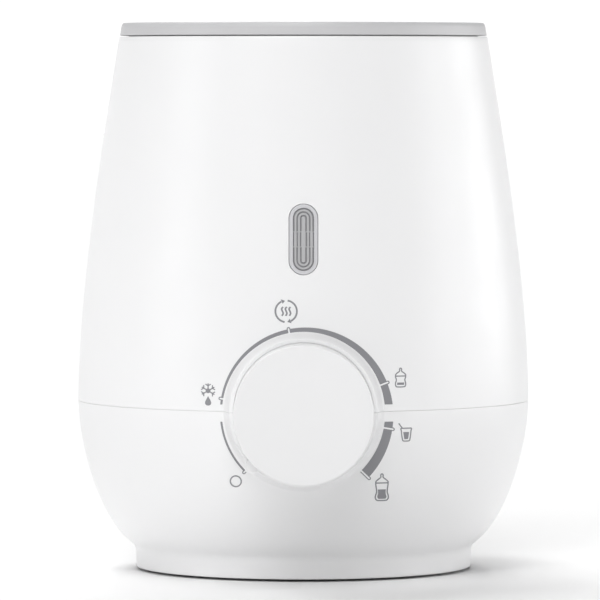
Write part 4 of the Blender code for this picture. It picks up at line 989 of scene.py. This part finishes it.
def base_plate(finish):
    low, high, radius = 0.0019, 0.0044, 0.0492
    profile = [(0, low), (0.0380, low), (radius, low), (radius, high), (0, high)]
    plate = turned("base_plate_form", rounded(profile, [0, 0, 0.0004, 0.0003, 0]), finish, "housing",
                   160,
                   replaces=["base_plate"])
    mesh = bmesh.new()
    for i in range(-2, 3):
        y = AXIS_Y + VENT_PITCH * i
        slot_cutter(mesh, (-VENT_REACH, y), (VENT_REACH, y), VENT_HALF, 0.0005, 0.0060)
    for x, y in around(FOOT_CIRCLE, 45):
        slot_cutter(mesh, (x, y), (x, y), FOOT_POCKET, 0.0005, 0.0033, 24)
    for x, y in around(BASE_SCREW_CIRCLE, 0):
        slot_cutter(mesh, (x, y), (x, y), SCREW_POCKET, 0.0005, 0.0031, 16)
        slot_cutter(mesh, (x, y), (x, y), SCREW_BORE, 0.0030, 0.0060, 12)
    cut_away(plate, mesh)
    return plate


def feet(finish):
    profile = [(0, 0), (0.0042, 0), (0.0045, 0.00025), (0.0049, 0.00025), (0.0052, 0), (0.0054, 0),
               (0.0060, 0.0006),
               (0.0060, 0.0030), (0, 0.0030)]
    soft = [0, 0.0001, 0.0001, 0.0001, 0.0001, 0.0003, 0.0003, 0.0002, 0]
    for number, centre in enumerate(around(FOOT_CIRCLE, 45), 1):
        turned(f"foot_{number}_form", rounded(profile, soft, 3), finish, "housing", 48,
               centre, [f"foot_{number}"])


def base_screws(finish):
    """Pan heads with a cross recess."""
    profile = [(0, 0.0020), (0.0016, 0.0020), (0.0026, 0.00225), (0.0030, 0.0029), (0.0011, 0.0029),
               (0.0011, 0.0128),
               (0, 0.0130)]
    soft = [0, 0.0004, 0.0005, 0.0001, 0, 0, 0]
    for number, (x, y) in enumerate(around(BASE_SCREW_CIRCLE, 0), 1):
        head = turned(f"base_screw_{number}_form", rounded(profile, soft, 3), finish, "housing",
                      40, (x, y),
                      [f"base_screw_{number}"])
        for dx, dy in ((CROSS_REACH, 0), (0, CROSS_REACH)):
            mesh = bmesh.new()
            slot_cutter(mesh, (x - dx, y - dy), (x + dx, y + dy), CROSS_HALF, 0.0010, 0.0026, 4)
            cut_away(head, mesh)


# Finishes ----------------------------------------------------------------------------------

def new_finish(name, shader="ShaderNodeBsdfPrincipled"):
    made = bpy.data.materials.new(name)
    made.use_nodes = True
    made.node_tree.nodes.clear()
    output = made.node_tree.nodes.new("ShaderNodeOutputMaterial")
    surface = made.node_tree.nodes.new(shader)
    made.node_tree.links.new(surface.outputs[0], output.inputs["Surface"])
    return made, surface


def noise(tree, scale, detail=4.0, stretch=(1, 1, 1)):
    """Noise over the object's own coordinates, in features a metre."""
    nodes, links = tree.nodes, tree.links
    place = nodes.new("ShaderNodeTexCoord")
    spread = nodes.new("ShaderNodeMapping")
    spread.inputs["Scale"].default_value = stretch
    made = nodes.new("ShaderNodeTexNoise")
    made.inputs["Scale"].default_value = scale
    made.inputs["Detail"].default_value = detail
    links.new(place.outputs["Object"], spread.inputs["Vector"])
    links.new(spread.outputs["Vector"], made.inputs["Vector"])
    return made.outputs["Fac"]


def spread_value(tree, source, low, high):
    """Turns a noise value into one between low and high."""
    step = tree.nodes.new("ShaderNodeMapRange")
    step.inputs["From Min"].default_value = 0.3
    step.inputs["From Max"].default_value = 0.7
    step.inputs["To Min"].default_value = low
    step.inputs["To Max"].default_value = high
    tree.links.new(source, step.inputs["Value"])
    return step.outputs["Result"]


def spread_colour(tree, source, low, high):
    step = tree.nodes.new("ShaderNodeValToRGB")
    step.color_ramp.elements[0].position = 0.3
    step.color_ramp.elements[1].position = 0.7
    step.color_ramp.elements[0].color = (*low, 1)
    step.color_ramp.elements[1].color = (*high, 1)
    tree.links.new(source, step.inputs["Fac"])
    return step.outputs["Color"]


def bumped(tree, surface, source, strength, distance):
    bump = tree.nodes.new("ShaderNodeBump")
    bump.inputs["Strength"].default_value = strength
    bump.inputs["Distance"].default_value = distance
    tree.links.new(source, bump.inputs["Height"])
    tree.links.new(bump.outputs["Normal"], surface.inputs["Normal"])


def moulded(name, colour, roughness, grain=2600, depth=0.000012, vary=0.02, clear=0.0):
    """Moulded plastic: an even colour with faint flow marks, fine grain and uneven gloss."""
    made, surface = new_finish(name)
    tree = made.node_tree
    colour = np.array(colour)
    tint = spread_colour(tree, noise(tree, 28, 3), tuple(colour * (1 - vary)),
                         tuple(np.minimum(colour * (1 + vary * 0.5), 1)))
    tree.links.new(tint, surface.inputs["Base Color"])
    gloss = spread_value(tree, noise(tree, 90, 5), roughness - 0.04, roughness + 0.05)
    tree.links.new(gloss, surface.inputs["Roughness"])
    bumped(tree, surface, noise(tree, grain, 2), 0.35, depth)
    surface.inputs["Transmission Weight"].default_value = clear
    return made


def metal(name, colour, roughness, stretch=(1, 1, 1), scale=900, vary=0.08):
    """Bare metal with directional marks and uneven gloss."""
    made, surface = new_finish(name)
    tree = made.node_tree
    colour = np.array(colour)
    marks = noise(tree, scale, 6, stretch)
    tree.links.new(spread_colour(tree, marks, tuple(colour * (1 - vary)),
                                 tuple(np.minimum(colour * (1 + vary), 1))),
                   surface.inputs["Base Color"])
    tree.links.new(spread_value(tree, marks, roughness - 0.08, roughness + 0.1),
                   surface.inputs["Roughness"])
    bumped(tree, surface, marks, 0.2, 0.00001)
    surface.inputs["Metallic"].default_value = 1.0
    return made


def turned_metal(name, colour, roughness):
    """Metal with fine rings about the body axis."""
    made, surface = new_finish(name)
    tree = made.node_tree
    nodes, links = tree.nodes, tree.links
    place = nodes.new("ShaderNodeTexCoord")
    shift = nodes.new("ShaderNodeMapping")
    shift.inputs["Location"].default_value = (0, -AXIS_Y, 0)
    rings = nodes.new("ShaderNodeTexWave")
    rings.wave_type = "RINGS"
    rings.rings_direction = "Z"
    rings.inputs["Scale"].default_value = 420
    rings.inputs["Distortion"].default_value = 1.2
    rings.inputs["Detail"].default_value = 3
    links.new(place.outputs["Object"], shift.inputs["Vector"])
    links.new(shift.outputs["Vector"], rings.inputs["Vector"])
    colour = np.array(colour)
    links.new(spread_colour(tree, rings.outputs["Fac"], tuple(colour * 0.9), tuple(colour)),
              surface.inputs["Base Color"])
    links.new(spread_value(tree, rings.outputs["Fac"], roughness - 0.06, roughness + 0.08),
              surface.inputs["Roughness"])
    bumped(tree, surface, rings.outputs["Fac"], 0.3, 0.00001)
    surface.inputs["Metallic"].default_value = 1.0
    return made


def diffuser(name, colour, roughness):
    """Milky moulded lens under a thin coat."""
    made = moulded(name, colour, roughness, grain=1800, depth=0.00001, vary=0.04)
    surface = next(node for node in made.node_tree.nodes if node.type == "BSDF_PRINCIPLED")
    surface.inputs["Coat Weight"].default_value = 0.3
    surface.inputs["Coat Roughness"].default_value = 0.2
    return made


def floor_finish():
    made, surface = new_finish("floor_pale")
    tree = made.node_tree
    tree.links.new(spread_colour(tree, noise(tree, 6, 3), (0.885, 0.885, 0.885), (0.90, 0.90, 0.90)),
                   surface.inputs["Base Color"])
    surface.inputs["Roughness"].default_value = 0.9
    surface.inputs["Specular IOR Level"].default_value = 0.1
    return made


INSIDE_FINISHES = {
    "seal_silicone": lambda: moulded("seal_silicone_look", (0.70, 0.22, 0.15), 0.6, vary=0.06),
    "spreader_aluminium": lambda: metal("spreader_look", (0.80, 0.80, 0.81), 0.38, (1, 6, 1)),
    "element_sheath": lambda: metal("sheath_look", (0.36, 0.34, 0.32), 0.45, vary=0.25),
    "zinc_steel": lambda: metal("zinc_look", (0.66, 0.66, 0.68), 0.34, vary=0.12),
    "terminal_brass": lambda: metal("brass_look", (0.80, 0.62, 0.30), 0.3, vary=0.15),
    "component_black": lambda: moulded("component_look", (0.045, 0.045, 0.05), 0.5, vary=0.2),
    "capacitor_yellow": lambda: moulded("capacitor_look", (0.78, 0.58, 0.10), 0.42, vary=0.06),
    "terminal_green": lambda: moulded("terminal_look", (0.08, 0.34, 0.18), 0.45, vary=0.08),
    "board_green": lambda: moulded("board_look", (0.03, 0.19, 0.09), 0.35, grain=700, vary=0.25),
    "bracket_black": lambda: moulded("bracket_look", (0.09, 0.09, 0.10), 0.55, vary=0.15),
    "pot_case": lambda: metal("pot_look", (0.58, 0.58, 0.60), 0.36, vary=0.1),
    "led_amber": lambda: moulded("led_look", (0.90, 0.60, 0.22), 0.22, vary=0.06),
    "guide_clear": lambda: moulded("guide_look", (0.88, 0.90, 0.91), 0.12, vary=0.02, clear=0.8),
    "wire_brown": lambda: moulded("wire_brown_look", (0.22, 0.10, 0.05), 0.5, vary=0.1),
    "wire_blue": lambda: moulded("wire_blue_look", (0.06, 0.16, 0.45), 0.5, vary=0.1),
    "wire_white": lambda: moulded("wire_white_look", (0.80, 0.79, 0.76), 0.6, vary=0.05),
    "wire_grey": lambda: moulded("wire_grey_look", (0.44, 0.44, 0.46), 0.55, vary=0.08),
}


def finish_inside():
    """Gives each CAD node that still shows the finish of its own material slot."""
    made = {}
    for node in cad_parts.values():
        if node.hide_render:
            continue
        slot = node.data.materials[0].name.split(".")[0]
        if slot not in made:
            made[slot] = INSIDE_FINISHES[slot]()
        for i in range(len(node.material_slots)):
            node.material_slots[i].material = made[slot]


# Stage, lights and camera ------------------------------------------------------------------

FLOOR_REACH = 12.0
FLOOR_DROP = 0.0001         # keeps the floor just clear of the feet


def stage():
    data = bpy.data.meshes.new("floor")
    corners = [(x * FLOOR_REACH, y * FLOOR_REACH, -FLOOR_DROP) for x,
               y in ((-1, -1), (1, -1), (1, 1), (-1, 1))]
    data.from_pydata(corners, [], [(0, 1, 2, 3)])
    data.materials.append(floor_finish())
    floor = bpy.data.objects.new("floor", data)
    bpy.context.scene.collection.objects.link(floor)


# Soft lights far off: azimuth from the front towards +X, elevation, share of KEY_STRENGTH.
SOFT_LIGHTS = {
    "key_front": (0, 45, 1.0),       # the main light, over the camera
    "key_high": (-10, 65, 0.8),      # catches the collar and the top of the knob
    "fill_left": (-30, 35, 0.75),    # keeps the left of the front paler than the right
    "side_left": (-70, 5, 0.6),      # whitens the left edge
    "side_right": (85, 5, 0.8),      # a soft rim of light along the right edge, from two
    "side_right_rear": (115, 5, 1.0),    # lights so that neither leaves a hard streak
    "rear": (180, 45, 1.6),          # lights the far side of the ring and the floor behind
    "rear_left": (-135, 60, 1.4),
}
KEY_STRENGTH = 0.8
LIGHT_SPREAD = math.radians(30)
HORIZON_STRENGTH = 1.05              # a little over white, so the backdrop stays clean


def soft_light(name, azimuth, elevation, strength):
    data = bpy.data.lights.new(name, "SUN")
    data.energy = strength * KEY_STRENGTH
    data.angle = LIGHT_SPREAD
    lamp = bpy.data.objects.new(name, data)
    bpy.context.scene.collection.objects.link(lamp)
    turn, rise = math.radians(azimuth), math.radians(elevation)
    source = Vector((math.sin(turn) * math.cos(rise), -math.cos(turn) * math.cos(rise), math.sin(rise)))
    lamp.rotation_mode = "QUATERNION"
    lamp.rotation_quaternion = (-source).to_track_quat("-Z", "Y")


def surroundings():
    """A white horizon, with nothing overhead but the lights."""
    world = bpy.data.worlds.new("studio")
    bpy.context.scene.world = world
    world.use_nodes = True
    tree = world.node_tree
    tree.nodes.clear()
    output = tree.nodes.new("ShaderNodeOutputWorld")
    glow = tree.nodes.new("ShaderNodeBackground")
    place = tree.nodes.new("ShaderNodeTexCoord")
    split = tree.nodes.new("ShaderNodeSeparateXYZ")
    height = tree.nodes.new("ShaderNodeMath")
    height.operation = "ABSOLUTE"
    ramp = tree.nodes.new("ShaderNodeValToRGB")
    ramp.color_ramp.elements[0].position = 0.10
    ramp.color_ramp.elements[0].color = (1, 1, 1, 1)
    ramp.color_ramp.elements[1].position = 0.16
    ramp.color_ramp.elements[1].color = (0, 0, 0, 1)
    tree.links.new(place.outputs["Generated"], split.inputs["Vector"])
    tree.links.new(split.outputs["Z"], height.inputs[0])
    tree.links.new(height.outputs[0], ramp.inputs["Fac"])
    tree.links.new(ramp.outputs["Color"], glow.inputs["Color"])
    tree.links.new(glow.outputs[0], output.inputs["Surface"])
    glow.inputs["Strength"].default_value = HORIZON_STRENGTH


CAMERA_DISTANCE = 1.804
CAMERA_HEIGHT = 0.1552
CAMERA_DROP = math.radians(2.28)
CAMERA_SIDE = -0.00105
CAMERA_SENSOR = 36
CAMERA_LENS = 348


def camera():
    data = bpy.data.cameras.new("camera")
    data.sensor_width = CAMERA_SENSOR
    data.lens = CAMERA_LENS
    data.clip_start, data.clip_end = 0.05, 60
    made = bpy.data.objects.new("camera", data)
    bpy.context.scene.collection.objects.link(made)
    made.location = (CAMERA_SIDE, AXIS_Y - CAMERA_DISTANCE, CAMERA_HEIGHT)
    made.rotation_euler = (math.pi / 2 - CAMERA_DROP, 0, 0)
    bpy.context.scene.camera = made


def main():
    body_white = moulded("body_white_look", (0.86, 0.86, 0.865), 0.34, depth=0.000008, vary=0.008)
    knob_white = moulded("knob_white_look", (0.83, 0.83, 0.835), 0.42, vary=0.01)
    ring_grey = moulded("ring_grey_look", (0.56, 0.56, 0.57), 0.45, vary=0.02)
    bezel_grey = moulded("bezel_grey_look", (0.60, 0.60, 0.62), 0.30, vary=0.02)
    lens = diffuser("lens_look", (0.47, 0.47, 0.48), 0.3)
    # a darker copy of the lens finish: painted shade for the faces down in the lens's grooves
    groove_painted_shade = diffuser("lens_groove_painted_shade_look", (0.27, 0.27, 0.28), 0.35)
    print_grey = moulded("print_grey_look", (0.252, 0.252, 0.268), 0.5, grain=3800, vary=0.03)
    tub_grey = moulded("tub_grey_look", (0.60, 0.60, 0.615), 0.5, vary=0.03)
    base_grey = moulded("base_grey_look", (0.66, 0.66, 0.67), 0.5, grain=1500, depth=0.00003, vary=0.03)
    rubber = moulded("rubber_look", (0.16, 0.16, 0.165), 0.8, grain=1400, depth=0.00004, vary=0.12)
    screw_steel = metal("screw_look", (0.62, 0.62, 0.64), 0.32, vary=0.12)

    upper_shell(body_white)
    lower_shell(body_white)
    window(bezel_grey, lens, groove_painted_shade)
    scale(print_grey)
    warm_icon(print_grey)
    thaw_icon(print_grey)
    off_icon(print_grey)
    bottle_icons(print_grey)
    cup_icon(print_grey)
    top_ring(ring_grey)
    water_tub(tub_grey)
    heater_plate(turned_metal("plate_steel_look", (0.74, 0.74, 0.75), 0.28))
    dial_knob(knob_white)
    cord_gland(base_grey)
    base_plate(base_grey)
    feet(rubber)
    base_screws(screw_steel)
    finish_inside()

    stage()
    surroundings()
    for name, values in SOFT_LIGHTS.items():
        soft_light(name, *values)
    camera()
    bpy.context.scene.view_settings.view_transform = "Standard"


main()
